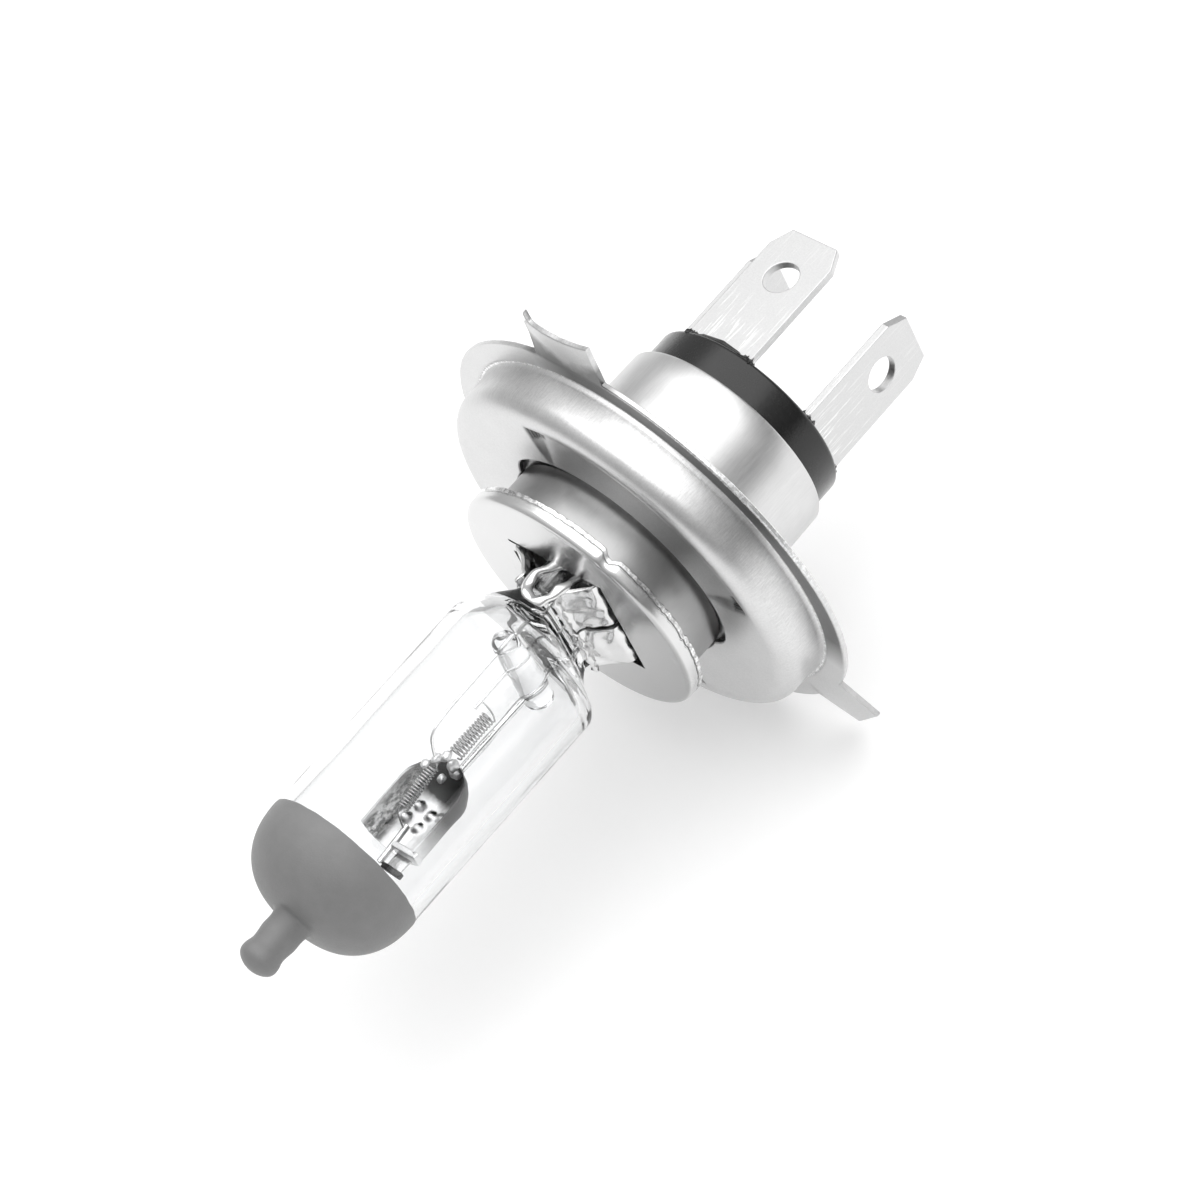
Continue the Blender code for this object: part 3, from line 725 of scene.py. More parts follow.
def disc_section(degrees):
    """Front face, rounded rim and the ragged rear edge that was sheared off."""
    round_r = 0.62
    ragged_edge = ragged(degrees, 0.2, 2.4, 11.0) + ragged(degrees, 0.06, 5.0, 2.0)
    notch_at, notch_width = 52.0, 2.6
    notch = 0.42 * math.exp(-(wrapped(degrees - notch_at) / notch_width) ** 4)
    rear = DISC_REAR + min(0.0, ragged_edge) - notch
    rim = DISC_R - notch * 0.5
    front = DISC_FRONT
    points = [(rim - 0.12, rear), (rim, rear - 0.08), (rim, rear - 0.3), (rim - 0.02, rear - 0.42),
              (rim - 0.17, rear - 0.5), (rim - 0.17, rear - 0.56), (rim - 0.03, rear - 0.64)]
    points += arc((rim - round_r - 0.03, front + round_r), round_r, 10.0, -90.0, 8)
    inner = rim - CAP_SHEET
    points += [(6.0, front), (2.0, front), (2.0, front + CAP_SHEET), (6.0, front + CAP_SHEET)]
    points += arc((inner - 0.4, front + CAP_SHEET + 0.4), 0.4, -90.0, 0.0, 4)
    points += [(inner, rear - 0.05), (inner + 0.06, rear)]
    return points


def finger(side, low, high, reach):
    """One finger of a spring strip, lanced out of the cap and bent forward to grip the pinch."""
    root, tip = WINDOW_X - 0.95, PINCH_X + 0.12
    front = DISC_FRONT - 0.1
    line = [(root + 0.02, front + 0.9), (root, front + 0.1), (root - 0.35, front - 0.22),
            (root - 1.1, front - 0.5), (tip + 0.7, front - 1.3), (tip + 0.03, front - 1.9 * reach),
            (tip + 0.05, front - 2.3 * reach), (tip + 0.45, front - 2.75 * reach)]
    line = [p.to_2d() for p in smoothed([(x, y, 0.0) for x, y in line], 2)]
    half = 0.15
    upper, lower = [], []
    for i, p in enumerate(line):
        along = (line[min(i + 1, len(line) - 1)] - line[max(i - 1, 0)]).normalized()
        normal = Vector((-along.y, along.x))
        upper.append(p + normal * half)
        lower.append(p - normal * half)
    outline = upper + lower[::-1]
    count = 14
    rings = []
    for k in range(count + 1):
        z = low + (high - low) * k / count
        crown = 0.12 * (1.0 - (2.0 * k / count - 1.0) ** 2)
        ring = []
        for i, p in enumerate(outline):
            along = min(i, len(outline) - 1 - i) / 6.0
            at = Vector((along * 0.8, z * 1.1, side * 7.0))
            dent = 0.5 * noise.noise(at) + 0.2 * noise.noise(at * 2.7)
            ring.append(Vector((side * (p.x + dent * 0.4),
                                p.y - crown + dent * min(1.0, along / 3.0),
                                z + 0.12 * math.sin(along * 2.0))))
        rings.append(ring)
    return skin(rings)


def window_flap():
    """The lanced flap that leans back behind the window's upper edge."""
    thick = Vector((0.0, 0.3, 0.05))
    rows = []
    for i in range(13):
        x = -2.7 + 7.9 * i / 12.0
        sag = 0.18 * noise.noise(Vector((x * 0.6, 4.0, 0.0)))
        upper = Vector((x, DISC_FRONT + 0.42 + sag, WINDOW_Z + 0.15))
        lower = Vector((x + 0.2, DISC_FRONT + 0.6 + sag,
                        WINDOW_Z - 2.0 + 0.35 * math.sin(x * 2.3)))
        rows.append([upper, lower, lower + thick, upper + thick])
    return skin(rows)


HAIRPIN_SEED = 1795015151       # noise_vector draws from a seeded state; noise.noise does not


def hairpin():
    """The wire that is looped over the pinch's top end and pushed back under the cap."""
    noise.seed_set(HAIRPIN_SEED)
    hidden = DISC_FRONT + 1.0
    path = [(0.8, hidden, 5.0), (0.3, DISC_FRONT, 5.75), (-0.6, -11.6, 5.95), (-0.5, -13.0, 5.95),
            (0.6, -13.8, 5.9), (1.7, -13.6, 5.75), (2.05, -12.5, 5.6), (2.25, -11.2, 5.3),
            (2.4, hidden, 4.6)]
    wire = tube(smoothed(path, 3), 0.46, 20)
    for vert in wire.verts:
        vert.co += noise.noise_vector(vert.co * 0.9) * 0.22
    return wire


def make_front_cap(steel, spring):
    angles = [360.0 * i / 240 for i in range(240)]
    rings = [[polar(r, y, a) for r, y in disc_section(a)] for a in angles]
    cap = raw("cap", skin(rings, loop=True))
    window = block((-3.6, DISC_FRONT - 1.0, -WINDOW_Z), (WINDOW_X, DISC_FRONT + 1.0, WINDOW_Z))
    slit = block((-WINDOW_X, DISC_FRONT - 1.1, WINDOW_Z - 0.35),
                 (-3.0, DISC_FRONT + 1.1, WINDOW_Z - 0.02))
    side = block((-WINDOW_X - 0.1, DISC_FRONT - 1.2, -4.0), (-3.4, DISC_FRONT + 1.2, 4.1))
    cut_and_join(cap, cuts=[window, slit, side])
    fitted(cap, steel, "ring_steel", "front_cap", smooth=32.0)
    fitted(soften(raw("window_flap", window_flap()), 0.05), spring, "ring_steel", smooth=30.0)
    fitted(raw("hairpin_spring", hairpin()), spring, "ring_steel", smooth=70.0)
    for side, name in ((1, "right"), (-1, "left")):
        for number, (low, high, reach) in enumerate(((-5.2, -0.4, 0.9), (0.2, 5.3, 1.0))):
            strip = raw("finger_%s_%d" % (name, number), finger(side, low, high, reach))
            fitted(soften(strip, 0.05), spring, "ring_steel", smooth=28.0)


def make_sleeve(steel):
    low, high = span("sleeve")
    inner = SLEEVE_R - 0.45
    profile = [(SLEEVE_R - 0.06, high.y), (SLEEVE_R, high.y - 0.06), (SLEEVE_R, low.y + 1.6),
               (SLEEVE_R - 0.02, low.y + 0.8), (SLEEVE_R, low.y + 0.06), (SLEEVE_R - 0.06, low.y),
               (inner, low.y), (inner, high.y)]
    fitted(raw("neck_sleeve", turned(profile)), steel, "ring_steel", "sleeve")


# ---- base -------------------------------------------------------------------------------------

def make_base_shell(steel):
    low, high = span("base_shell")
    rear_r, front_r = 10.5, 10.7
    inner = rear_r - 0.45
    foot = high.x
    end = high.y
    profile = [(foot, low.y), (inner, low.y), (inner, end - 0.1), (inner + 0.08, end),
               (rear_r - 0.3, end), (rear_r - 0.12, end - 0.07), (rear_r, end - 0.25)]
    for i in range(1, 6):
        t = i / 5.0
        profile.append((rear_r + (front_r - rear_r) * t, end - 0.3 - (end - 0.3) * t))
    profile += [(front_r, low.y + 1.2)] + [
        (front_r + 0.6 - 0.6 * math.cos(a), low.y + 1.05 - 0.6 * math.sin(a))
        for a in [math.radians(22.5 * i) for i in range(5)]]
    profile += [(foot, low.y + 0.45)]
    fitted(raw("shell", turned(profile)), steel, "shell_steel", "base_shell")


BLADE_T = 0.8
BLADE_LOW, BLADE_HIGH = span("blade_top")
BLADE_W = BLADE_HIGH.x - BLADE_LOW.x
# Name, turn about the axis in degrees, distance of the outer face from the axis.
BLADES = (("top", 0.0, BLADE_HIGH.z), ("right", -90.0, span("blade_right")[1].x),
          ("left", 90.0, -span("blade_left")[0].x))


def blade_turn(turn):
    """Turns the top blade's place about the axis to another blade's."""
    return Matrix.Rotation(math.radians(-turn), 4, "Y")


def make_insulator(resin):
    low, high = span("insulator")
    radius, edge = high.x, 0.4
    profile = [(radius - 0.3, low.y), (radius, low.y + 0.3), (radius, high.y - edge)]
    profile += [(radius - edge + edge * math.cos(a), high.y - edge + edge * math.sin(a))
                for a in [math.radians(22.5 * i) for i in range(1, 5)]]
    profile += [(radius * 0.6, high.y), (radius * 0.3, high.y)]
    body = raw("base_plug", turned(profile, loop=False))
    slots, play = [], 0.1
    half = BLADE_W / 2.0 + play
    for _, turn, offset in BLADES:
        slot = block((-half, low.y - 1.0, offset - BLADE_T - play),
                     (half, high.y + 1.0, offset + play))
        bmesh.ops.transform(slot, matrix=blade_turn(turn), verts=slot.verts)
        slots.append(slot)
    cut_and_join(body, cuts=slots)
    fitted(body, resin, "black_resin", "insulator")


def potting(offset, seed):
    """A ragged bead of resin that has crept up round a blade's root."""
    half, thick = BLADE_W / 2.0, BLADE_T / 2.0
    middle = offset - thick
    rear = span("insulator")[1].y
    count = 120
    rings = []
    for k in range(count):
        a = 2.0 * math.pi * k / count
        c, s = math.cos(a), math.sin(a)
        edge_x = half * math.copysign(abs(c) ** 0.18, c)
        edge_z = thick * math.copysign(abs(s) ** 0.18, s)
        at = Vector((c * 4.0, seed, s * 4.0))
        wide = 0.3 + 0.2 * (noise.noise(at * 1.3) + 0.6 * noise.noise(at * 4.0))
        tall = 0.26 + 0.7 * max(0.0, noise.noise(at * 2.1 + Vector((9.0, 0.0, 0.0)))
                                + 0.5 * noise.noise(at * 6.0))
        outward = Vector((c * 0.4, 0.0, s)).normalized()
        base = Vector((edge_x, 0.0, middle + edge_z))
        lip = 0.03
        rings.append([base - outward * 0.2 + Vector((0.0, rear - 0.3, 0.0)),
                      base - outward * 0.2 + Vector((0.0, rear + tall * 0.8, 0.0)),
                      base + outward * lip + Vector((0.0, rear + tall, 0.0)),
                      base + outward * (lip + wide * 0.45) + Vector((0.0, rear + tall * 0.55, 0.0)),
                      base + outward * (lip + wide) + Vector((0.0, rear + 0.04, 0.0)),
                      base + outward * (lip + wide) + Vector((0.0, rear - 0.3, 0.0))])
    return skin(rings, loop=True)


def make_blade(name, turn, offset, metal, resin, seed):
    low, high = BLADE_LOW, BLADE_HIGH
    half, tail = BLADE_W / 2.0, 2.0
    across, along = 1.05, 2.1
    shoulder = 6.9
    side = [(tail, low.y), (tail, shoulder), (half, shoulder + half - tail),
            (half, high.y - along), (half - across, high.y)]
    outline = side + [(-x, y) for x, y in reversed(side)]
    rings = [[Vector((x, y, z)) for x, y in outline] for z in (offset - BLADE_T, offset)]
    blade = raw("contact_blade_" + name, skin(rings))
    hole_y, hole_r = 22.2, 1.65
    hole = skin([[Vector((hole_r * math.cos(a), hole_y + hole_r * math.sin(a), z))
                  for a in [2.0 * math.pi * k / 64 for k in range(64)]]
                 for z in (offset - 3.0, offset + 3.0)])
    cut_and_join(blade, cuts=[hole])
    soften(blade, 0.1, 3)
    blade.data.transform(blade_turn(turn))
    fitted(blade, metal, "blade_metal", "blade_" + name, smooth=10.0)
    bead = potting(offset, seed)
    bmesh.ops.transform(bead, matrix=blade_turn(turn), verts=bead.verts)
    fitted(raw("potting_" + name, bead), resin, "black_resin", smooth=60.0)


# ---- quartz burner ----------------------------------------------------------------------------

TUBE_R = span("quartz_envelope")[1].x
TUBE_REAR = span("quartz_envelope")[1].y - 2.9
TIP_END, COAT_EDGE = span("antiglare_cap")[0].y, span("antiglare_cap")[1].y
NECK_Y = COAT_EDGE - 6.7                    # the dome ends here and the sealed-off stem begins
STEM_R = 1.72
PINCH_FRONT, PINCH_REAR = span("pinch_seal")[0].y, span("pinch_seal")[1].y
WALL = 1.1


def oval(half_x, half_z, y, power, waist=0.0, count=96):
    """A section between a circle (power 2) and a rounded bar whose middle is thinner by waist."""
    points = []
    for i in range(count):
        a = 2.0 * math.pi * i / count
        c, s = math.cos(a), math.sin(a)
        x = half_x * math.copysign(abs(c) ** (2.0 / power), c)
        z = half_z * math.copysign(abs(s) ** (2.0 / power), s)
        x *= 1.0 - waist * (1.0 - min(1.0, abs(z) / half_z) ** 4)
        points.append(Vector((x, y, z)))
    return points


def dome_line():
    """(radius, y) down the domed end, its neck and the sealed-off stem."""
    points = [(TUBE_R, COAT_EDGE)]
    for i in range(1, 15):
        t = math.sin(i / 14.0 * math.pi / 2.0)
        radius = STEM_R + 0.25 + (TUBE_R - STEM_R - 0.25) * math.sqrt(max(0.0, 1.0 - t ** 2.4))
        points.append((radius, COAT_EDGE + (NECK_Y - COAT_EDGE) * t))
    stem = TIP_END - NECK_Y
    for t, r in ((0.08, 1.0), (0.2, 0.97), (0.34, 1.0), (0.48, 0.93), (0.6, 0.9), (0.72, 1.02),
                 (0.83, 1.03), (0.91, 0.87), (0.97, 0.55), (0.995, 0.25)):
        points.append((STEM_R * r, NECK_Y + stem * t))
    line = smoothed([(r, y, 0.0) for r, y in points], 2)
    return [(p.x, p.y) for p in line]


def quartz_outside():
    """The pinch, the flare out of it, the tube, and the domed end with its stem."""
    rings = [oval(PINCH_X * 0.9, PINCH_Z * 0.96, PINCH_REAR, 4.0, 0.3),
             oval(PINCH_X, PINCH_Z, PINCH_REAR - 0.2, 4.0, 0.3)]
    for i in range(1, 14):
        y = PINCH_REAR + (PINCH_FRONT + 1.2 - PINCH_REAR) * i / 14.0
        bulge = math.exp(-((y - PINCH_FRONT - 2.2) / 0.8) ** 2)
        rings.append(oval(PINCH_X + 0.25 * bulge, PINCH_Z + 0.3 * bulge, y, 4.0, 0.3))
    first, last = PINCH_FRONT + 0.9, TUBE_REAR - 0.7
    steps = 22
    for i in range(steps + 1):
        u = i / steps
        grow = 0.5 * math.sin(u * math.pi / 2.0) + 0.5 * (0.5 - 0.5 * math.cos(u * math.pi))
        flare = grow ** 1.25
        rings.append(oval(PINCH_X + (TUBE_R - PINCH_X) * flare, PINCH_Z + (TUBE_R - PINCH_Z) * grow,
                          first + (last - first) * u, 4.0 - 2.0 * min(1.0, grow * 1.2),
                          0.3 * (1.0 - grow)))
    rings += [oval(TUBE_R, TUBE_R, last + (COAT_EDGE - last) * t, 2.0) for t in (0.25, 0.5, 0.75)]
    rings += [oval(r, r, y, 2.0) for r, y in dome_line()]
    return rings


def quartz_inside():
    """The hollow's rings, and where its two ends close."""
    bore, dome = TUBE_R - WALL, 5.0
    rings = []
    first, last = PINCH_FRONT - 0.9, TUBE_REAR - 1.6
    for i in range(1, 13):
        u = i / 12.0
        swell = math.sin(u * math.pi / 2.0)
        rings.append(oval(bore * swell, bore * (0.55 + 0.45 * swell) * min(1.0, swell * 2.2),
                          first + (last - first) * (1.0 - math.cos(u * math.pi / 2.0)), 2.0))
    rings += [oval(bore, bore, last + (COAT_EDGE - last) * t, 2.0) for t in (0.3, 0.6, 0.9)]
    for i in range(12):
        a = i / 12.0 * math.pi / 2.0
        r = bore * math.cos(a)
        rings.append(oval(r, r, COAT_EDGE - dome * math.sin(a), 2.0))
    return rings, first, COAT_EDGE - dome


def make_quartz(glass):
    outside = skin(quartz_outside(), poles=(None, Vector((0.0, TIP_END + 0.02, 0.0))))
    bmesh.ops.recalc_face_normals(outside, faces=outside.faces)
    rings, rear, front = quartz_inside()
    inside = skin(rings, poles=(Vector((0.0, rear, 0.0)), Vector((0.0, front, 0.0))))
    bmesh.ops.recalc_face_normals(inside, faces=inside.faces)
    bmesh.ops.reverse_faces(inside, faces=inside.faces)
    burner = raw("quartz_burner", merged(outside, inside), recalc=False)
    fitted(burner, glass, "quartz", "quartz_envelope", "pinch_seal", smooth=50.0)


def make_coat(coat):
    """A thin skin over the dome, its neck and its stem, with an uneven edge."""
    line = dome_line()
    outer, inner = [], []
    for i, (r, y) in enumerate(line):
        ahead, behind = line[min(i + 1, len(line) - 1)], line[max(i - 1, 0)]
        along = Vector((ahead[0] - behind[0], ahead[1] - behind[1])).normalized()
        out = Vector((-along.y, along.x))
        thick = 0.07 * min(1.0, 0.35 + i * 0.25)
        outer.append(oval(r + out.x * thick, r + out.x * thick, y + out.y * thick, 2.0))
        inner.append(oval(r + out.x * 0.015, r + out.x * 0.015, y + out.y * 0.015, 2.0))
    for ring in (outer[0], inner[0]):
        for k, point in enumerate(ring):
            point.y += 0.05 + ragged(360.0 * k / len(ring), 0.05, 0.6, 21.0)
    bm = skin(inner[::-1] + outer, poles=(Vector((0.0, TIP_END, 0.0)),
                                          Vector((0.0, TIP_END - 0.05, 0.0))))
    fitted(raw("grey_coat_skin", bm), coat, "grey_coat", "antiglare_cap", smooth=60.0)


def make_bridge(glass):
    low, high = span("quartz_bridge")
    radius = (high.x - low.x) / 2.0
    y = (low.y + high.y) / 2.0
    rings = []
    length = high.z - low.z
    for i in range(1, 40):
        z = low.z + length * (0.5 - 0.5 * math.cos(math.pi * i / 40.0))
        end = min(z - low.z, high.z - z)
        r = radius * (1.0 + 0.03 * math.sin(z * 1.9))
        if end < radius:
            r *= math.sqrt(max(0.0, 1.0 - (1.0 - end / radius) ** 2.4))
        rings.append([Vector((r * math.cos(a), y + r * math.sin(a), z))
                      for a in [2.0 * math.pi * k / 48 for k in range(48)]])
    bead = skin(rings, poles=(Vector((0.0, y, low.z)), Vector((0.0, y, high.z))))
    fitted(raw("quartz_bead", bead), glass, "quartz", "quartz_bridge", smooth=60.0)


# ---- filaments, leads, shield -----------------------------------------------------------------

def coil_winder():
    """Winds a wire into a coil along -Y, out of a few named sizes."""
    tree = bpy.data.node_groups.new("coil winder", "GeometryNodeTree")
    tree.interface.new_socket("Geometry", in_out="OUTPUT", socket_type="NodeSocketGeometry")
    sockets = {}
    for name, kind in (("Turns", "NodeSocketFloat"), ("Coil radius", "NodeSocketFloat"),
                       ("Length", "NodeSocketFloat"), ("Wire radius", "NodeSocketFloat"),
                       ("Start", "NodeSocketVector"), ("Wire finish", "NodeSocketMaterial")):
        sockets[name] = tree.interface.new_socket(name, in_out="INPUT", socket_type=kind).identifier
    sizes = tree.nodes.new("NodeGroupInput")
    spiral = tree.nodes.new("GeometryNodeCurveSpiral")
    spiral.inputs["Resolution"].default_value = 20
    section = tree.nodes.new("GeometryNodeCurvePrimitiveCircle")
    section.inputs["Resolution"].default_value = 8
    wound = tree.nodes.new("GeometryNodeCurveToMesh")
    wound.inputs["Fill Caps"].default_value = True
    placed = tree.nodes.new("GeometryNodeTransform")
    placed.inputs["Rotation"].default_value = (math.pi / 2.0, 0.0, 0.0)
    real = tree.nodes.new("GeometryNodeRealizeInstances")
    finish = tree.nodes.new("GeometryNodeSetMaterial")
    result = tree.nodes.new("NodeGroupOutput")
    link = tree.links.new
    for size, node, socket in (("Turns", spiral, "Rotations"), ("Coil radius", spiral, "Start Radius"),
                               ("Coil radius", spiral, "End Radius"), ("Length", spiral, "Height"),
                               ("Wire radius", section, "Radius")):
        link(sizes.outputs[size], node.inputs[socket])
    link(spiral.outputs[0], wound.inputs["Curve"])
    link(section.outputs[0], wound.inputs["Profile Curve"])
    link(wound.outputs[0], placed.inputs["Geometry"])
    link(sizes.outputs["Start"], placed.inputs["Translation"])
    link(placed.outputs[0], real.inputs[0])
    link(real.outputs[0], finish.inputs["Geometry"])
    link(sizes.outputs["Wire finish"], finish.inputs["Material"])
    link(finish.outputs[0], result.inputs[0])
    return tree, sockets


def wind(winder, name, turns, radius, rear, front, height, wire_r, metal):
    """A coil between two places on the axis, at a height above it."""
    tree, sockets = winder
    obj = bpy.data.objects.new(name, bpy.data.meshes.new(name))
    bpy.context.scene.collection.objects.link(obj)
    modifier = obj.modifiers.new("coil", "NODES")
    modifier.node_group = tree
    values = {"Turns": turns, "Coil radius": radius * MM, "Length": (rear - front) * MM,
              "Wire radius": wire_r * MM, "Start": (0.0, rear * MM, height * MM),
              "Wire finish": metal}
    for key, value in values.items():
        modifier[sockets[key]] = value
    obj.update_tag()
    return settled(obj)


def make_filaments(tungsten):
    winder = coil_winder()
    wire_r = 0.075
    main = wind(winder, "main_coil", 13.25, 0.66, -22.3, -26.8, -1.3, wire_r, tungsten)
    fitted(main, tungsten, "tungsten", "main_filament", smooth=80.0)
    dipped = wind(winder, "dipped_coil", 15.25, 0.5, -29.1, -33.4, -0.6, 0.07, tungsten)
    middle = Matrix.Translation(Vector((0.0, -31.3, -0.6)) * MM)
    tilt = Matrix.Rotation(math.radians(9.0), 4, "X")
    dipped.data.transform(middle @ tilt @ middle.inverted())
    fitted(dipped, tungsten, "tungsten", "dipped_filament", smooth=80.0)
    legs = [
        ("main_leg_rear",
         [(0.66, -22.3, -1.3), (0.6, -22.15, -0.8), (0.3, -22.1, 0.1), (0.05, -22.2, 0.8)]),
        ("main_leg_front",
         [(0.0, -26.8, -0.64), (-0.3, -27.1, -0.9), (-0.3, -27.5, -1.6), (-0.1, -27.4, -2.3)]),
        ("dipped_leg_rear",
         [(0.5, -29.15, -0.25), (0.4, -28.8, 0.1), (0.1, -28.6, 0.5)]),
        ("dipped_leg_front",
         [(0.0, -33.45, -0.45), (-0.2, -33.9, -0.7), (0.1, -34.2, -1.4), (0.25, -34.5, -2.6)]),
    ]
    for name, path in legs:
        fitted(raw(name, tube(smoothed(path, 2), wire_r, 10)), tungsten, "tungsten", smooth=80.0)


def make_leads(metal):
    start = span("lead_main")[1].y
    leads = [
        ("support_main", "lead_main", 0.17,
         [(0.0, start, 0.0), (0.0, start - 1.2, 0.05), (0.0, start - 3.0, 0.8), (0.0, -18.5, 0.85),
          (0.05, -23.1, 0.85)]),
        ("support_dipped", "lead_dipped", 0.15,
         [(0.0, start, 3.3), (0.0, -18.0, 3.3), (0.0, -26.6, 3.2), (0.0, -28.0, 2.4),
          (0.1, -28.6, 0.4)]),
        ("support_common", "lead_common", 0.4,
         [(0.0, start, -3.3), (0.0, -18.0, -3.3), (0.0, -21.5, -3.3), (0.0, -27.6, -3.3)]),
        ("post", "filament_post", 0.33,
         [(0.25, -34.0, -2.6), (0.25, -35.4, -2.8), (0.2, -38.0, -3.1)]),
    ]
    for name, node, radius, path in leads:
        wire = raw(name, tube(smoothed(path, 3), radius, 24))
        fitted(wire, metal, "molybdenum", node, smooth=70.0)


SHIELD_LOW, SHIELD_HIGH = span("dipped_shield")
# Small ears punched up out of the shield's floor, as x and y.
EARS = ((-2.0, -31.0), (-0.6, -31.2), (0.6, -30.9), (-2.2, -32.5), (-0.85, -32.7))


def shield_point(u, v, inset):
    """A point of the cup: u runs from its front to its nose, v round the half oval."""
    length = SHIELD_HIGH.y - SHIELD_LOW.y
    y = SHIELD_LOW.y + length * u
    nose = 3.3
    t = max(0.0, (y - SHIELD_HIGH.y + nose) / nose)
    fade = math.sqrt(max(0.0, 1.0 - t * t))
    half = (SHIELD_HIGH.x - inset) * max(fade, 0.05) * (1.0 if v > 0.5 else 0.88)
    deep = (SHIELD_HIGH.z - SHIELD_LOW.z - inset) * max(fade, 0.05)
    a = math.pi * v
    x = half * math.copysign(abs(math.cos(a)) ** 0.8, math.cos(a))
    z = SHIELD_HIGH.z - deep * math.sin(a) ** 0.8
    lift = 0.0
    for cx, cy in EARS:
        near = ((x - cx) ** 2 + (y - cy + 0.25) ** 2) / 0.42 ** 2
        lift += 0.36 * math.exp(-near * near) * (abs(v - 0.5) < 0.3)
    return Vector((x, y, z + lift))


def shield_sheet():
    """Shield sheet: painted shade darkens its nose, its side walls and the pits of the small ears
    punched up from its clean floor.
    """
    f = Finish("shield_sheet", Metallic=1.0)
    x, y, z = f.parts(f.place())
    grain = f.noise(f.stretched(1.0, 0.5, 1.0), 2.2, 4.0, 0.7)
    cloud = f.noise(f.place(), 0.8, 2.0)
    colour = f.mixed(f.rise(grain * 0.5 + cloud * 0.5, 0.3, 0.7), grey(0.62), grey(0.9))
    # Painted shade: the nose, the right wall's upper part and streaks on the left wall that fade at
    # its rim are darkened.
    nose = f.ranged(y + (grain - 0.5) * 0.8 - x * x * 0.05, -30.7, -29.8, 0.0, 0.95)
    right = f.ranged(x + (grain - 0.5) * 0.4, 2.1, 2.6, 0.0, 0.93) * f.rise(y, -35.5, -32.0)
    wall = f.rise(x, -2.4, -2.9)
    lip = f.ranged(z, SHIELD_HIGH.z - 0.6, SHIELD_HIGH.z - 0.2, 1.0, 0.2)
    painted_shade = f.strongest(nose, right, wall * f.ranged(grain, 0.42, 0.56, 0.0, 0.95) * lip)
    # Painted shade: a dark pit beside each ear.
    for cx, cy in EARS:
        away = f.maths("SQRT", (x - cx) * (x - cx) + (y - cy - 0.2) * (y - cy - 0.2))
        painted_shade = f.strongest(painted_shade, f.ranged(away, 0.16, 0.25, 0.95, 0.0))
    f.feed("Base Color", f.mixed(painted_shade, colour, grey(0.03)))
    f.feed("Roughness", f.ranged(grain, 0.3, 0.7, 0.25, 0.45))
    f.relief(grain, 0.02)
    return f.material


def make_shield(metal, bright, painted_shade):
    rows, ribs = 72, 56
    sheet = 0.24
    rings = []
    for i in range(rows + 1):
        u = math.sin(math.pi / 2.0 * i / rows)
        outer = [shield_point(u, k / ribs, 0.0) for k in range(ribs + 1)]
        inner = [shield_point(u, k / ribs, sheet) for k in range(ribs + 1)]
        rings.append(outer + inner[::-1])
    cup = raw("shield_cup", skin(rings))
    fitted(cup, shield_sheet(), "molybdenum", "dipped_shield", smooth=45.0)
    strap = block((0.45, -36.3, -3.6), (3.4, -35.7, -2.3))
    fitted(soften(raw("shield_strap", strap), 0.1), bright, "molybdenum", smooth=15.0)
    # The foot's near-black finish is painted shade.
    foot = block((0.5, -38.3, -3.6), (2.9, -37.7, -3.1))
    fitted(soften(raw("shield_foot", foot), 0.1), painted_shade, "molybdenum", smooth=25.0)
    band = block((0.9, -37.7, -3.5), (2.6, -36.2, -3.3))
    fitted(soften(raw("shield_band", band), 0.05), metal, "molybdenum", smooth=25.0)


def make_welds(bright):
    """Uneven beads where the supports, the coils and the shield are welded together."""
    welds = (("weld_common", (0.1, -27.6, -3.1), (0.75, 0.55, 0.5)),
             ("weld_nose", (0.0, -29.0, -2.1), (0.35, 0.45, 0.3)),
             ("weld_bridge", (0.7, -27.8, -1.3), (0.38, 0.6, 0.7)),
             ("weld_top", (0.15, -27.7, -0.4), (0.45, 0.6, 0.4)),
             ("weld_dipped", (0.15, -28.5, 0.4), (0.4, 0.55, 0.35)),
             ("weld_coil", (-0.4, -29.4, 0.4), (0.35, 0.45, 0.3)))
    for number, (name, middle, size) in enumerate(welds):
        bead = bmesh.new()
        bmesh.ops.create_icosphere(bead, subdivisions=3, radius=1.0)
        for vert in bead.verts:
            swell = 1.0 + 0.25 * noise.noise(vert.co * 1.7 + Vector((number * 5.0, 0.0, 0.0)))
            vert.co = Vector([c * k * swell + m for c, k, m in zip(vert.co, size, middle)])
        fitted(raw(name, bead), bright, "molybdenum", smooth=80.0)


# ---- assembly ---------------------------------------------------------------------------------

def carry_over(material, *nodes):
    """CAD nodes whose shape is right keep it and get a better finish."""
    for node in nodes:
        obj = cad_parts[node]
        obj.data.materials.clear()
        obj.data.materials.append(material)


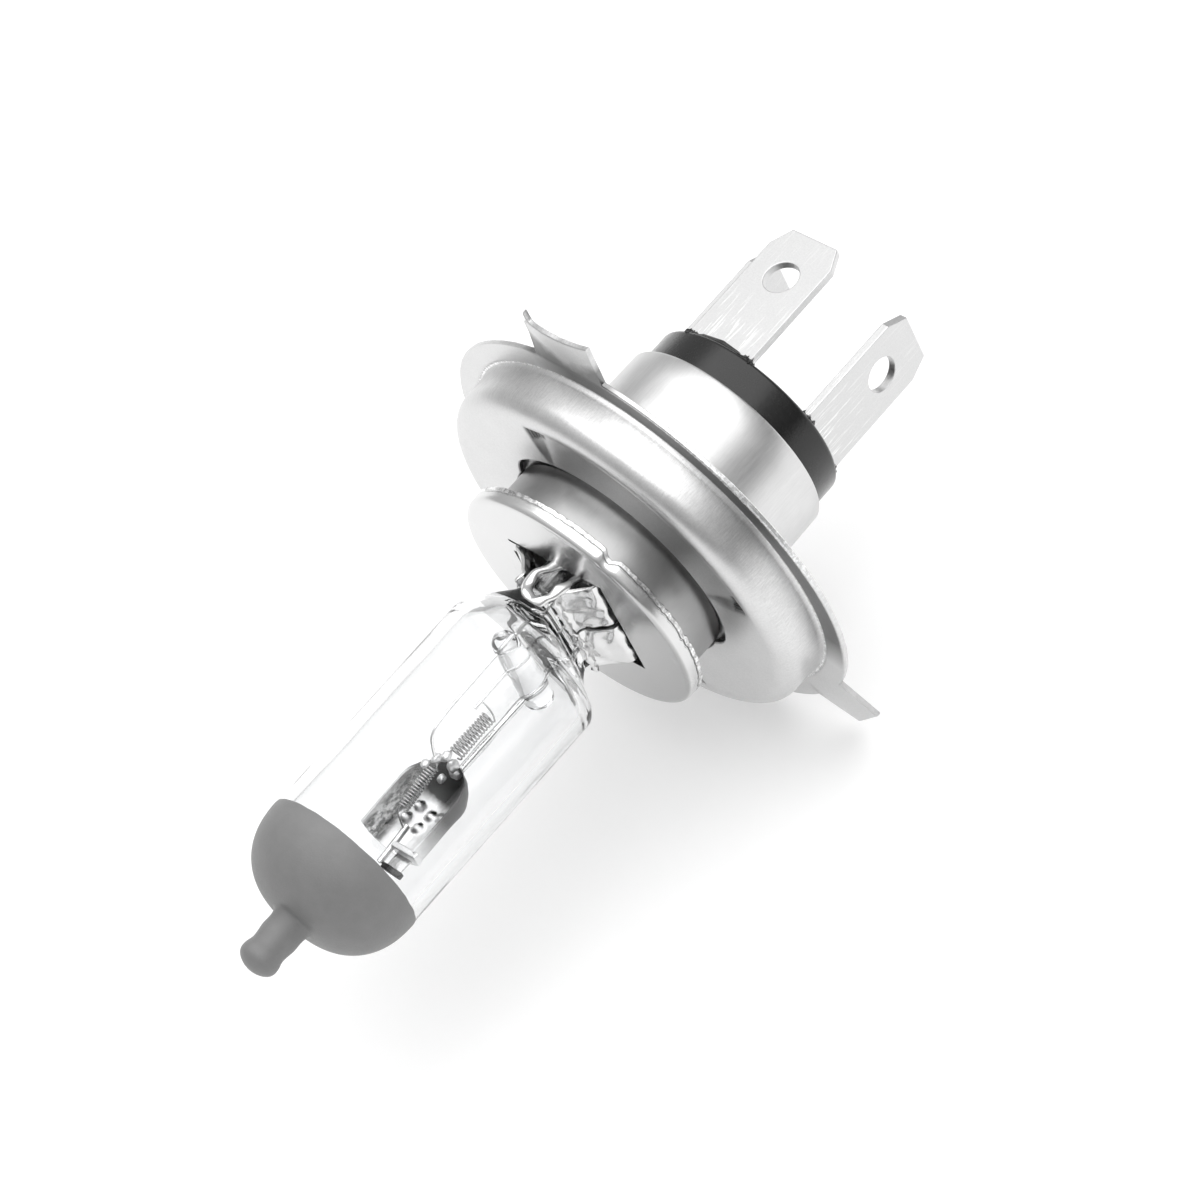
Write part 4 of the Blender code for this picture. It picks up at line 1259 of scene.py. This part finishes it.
def make_bulb():
    ring_steel = ring_plate()
    cap_steel = cap_plate()
    spring_steel = plain_steel("spring_steel", tone=0.8, rough=0.2, draw=0.1, mottle=0.3,
                               cloudy=0.5)
    sleeve_steel = plain_steel("sleeve_steel", tone=0.4, rough=0.3, draw=0.4, mottle=0.2,
                               cloudy=0.7)
    resin, metal, glass = moulded_resin(), tinned_blade(), clear_quartz()
    moly = drawn_wire("molybdenum_sheet", 0.55, 0.2)
    support = drawn_wire("support_wire", 0.85, 0.16)
    make_locating_ring(ring_steel)
    make_front_cap(cap_steel, spring_steel)
    make_sleeve(sleeve_steel)
    make_base_shell(brushed_shell())
    make_insulator(resin)
    for seed, (name, turn, offset) in enumerate(BLADES):
        make_blade(name, turn, offset, metal, resin, 3.0 + 5.0 * seed)
    make_quartz(glass)
    make_coat(satin_coat())
    make_bridge(glass)
    make_filaments(drawn_wire("tungsten_wire", 0.5, 0.22))
    make_leads(support)
    weld_metal = drawn_wire("weld_metal", 0.97, 0.42)
    # The shield's foot is finished near black: painted shade.
    make_shield(moly, weld_metal, drawn_wire("painted_shade_foot", 0.04, 0.3))
    make_welds(weld_metal)
    carry_over(moly, "foil_dipped", "foil_main", "foil_common")
    carry_over(sleeve_steel, "burner_holder")
    carry_over(metal, "outer_lead_top", "outer_lead_right", "outer_lead_left")


# ---- stage ------------------------------------------------------------------------------------

def make_floor():
    """A wide round sheet that the bulb lies on."""
    radius, gap = 2500.0, 0.05
    bm = bmesh.new()
    bmesh.ops.create_circle(bm, cap_ends=True, segments=64, radius=radius)
    bmesh.ops.translate(bm, vec=(0.0, 0.0, cad_low.z / MM - gap), verts=bm.verts)
    floor = raw("studio_floor", bm, recalc=False)
    floor.data.materials.append(studio_floor())


def soft_lamp(name, place, aim, size, power):
    """A round lamp, placed in metres and turned to its aim."""
    light = bpy.data.lights.new(name, "AREA")
    light.shape, light.size, light.energy = "DISK", size, power
    lamp = bpy.data.objects.new(name, light)
    lamp.location = place
    toward = Vector(aim) - Vector(place)
    lamp.rotation_euler = toward.to_track_quat("-Z", "Y").to_euler()
    bpy.context.scene.collection.objects.link(lamp)


def make_light():
    """A bright soft ceiling over a dim horizon, which is lighter on the glass tip's side."""
    world = bpy.data.worlds.new("soft studio")
    bpy.context.scene.world = world
    world.use_nodes = True
    sky = Sheet(world.node_tree)
    x, y, z = sky.parts(sky.node("ShaderNodeTexCoord"))
    ceiling = sky.ranged(z, 0.08, 0.75, 0.1, 0.85)
    left = sky.ranged(y * 0.5 + x, 0.35, -0.7, 0.0, 0.5) * sky.fall(z, 0.0, 0.5)
    level = ceiling + left
    background = sky.tree.nodes["Background"]
    sky.tree.links.new(sky.as_grey(level).socket, background.inputs["Color"])
    soft_lamp("overhead", place=(0.04, 0.12, 0.5), aim=(0.0, -0.01, 0.0), size=0.85, power=2.7)


def make_camera():
    """A long lens, above the glass tip's right-hand side and rolled a little."""
    aim = Vector((-0.46, -7.58, -2.56)) * MM
    azimuth, elevation, roll = math.radians(64.96), math.radians(47.47), math.radians(29.25)
    distance = 476.85 * MM
    back = Vector((math.sin(azimuth) * math.cos(elevation), -math.cos(azimuth) * math.cos(elevation),
                   math.sin(elevation)))
    level = Vector((math.cos(azimuth), math.sin(azimuth), 0.0))
    upright = back.cross(level)
    right = math.cos(roll) * level - math.sin(roll) * upright
    up = math.cos(roll) * upright + math.sin(roll) * level
    data = bpy.data.cameras.new("camera")
    data.lens, data.sensor_width = 166.1, 36.0
    camera = bpy.data.objects.new("camera", data)
    turn = Matrix((right, up, back)).transposed().to_4x4()
    camera.matrix_world = Matrix.Translation(aim + back * distance) @ turn
    bpy.context.scene.collection.objects.link(camera)
    bpy.context.scene.camera = camera


bpy.context.scene.view_settings.view_transform = "Standard"
make_camera()
make_bulb()
make_floor()
make_light()
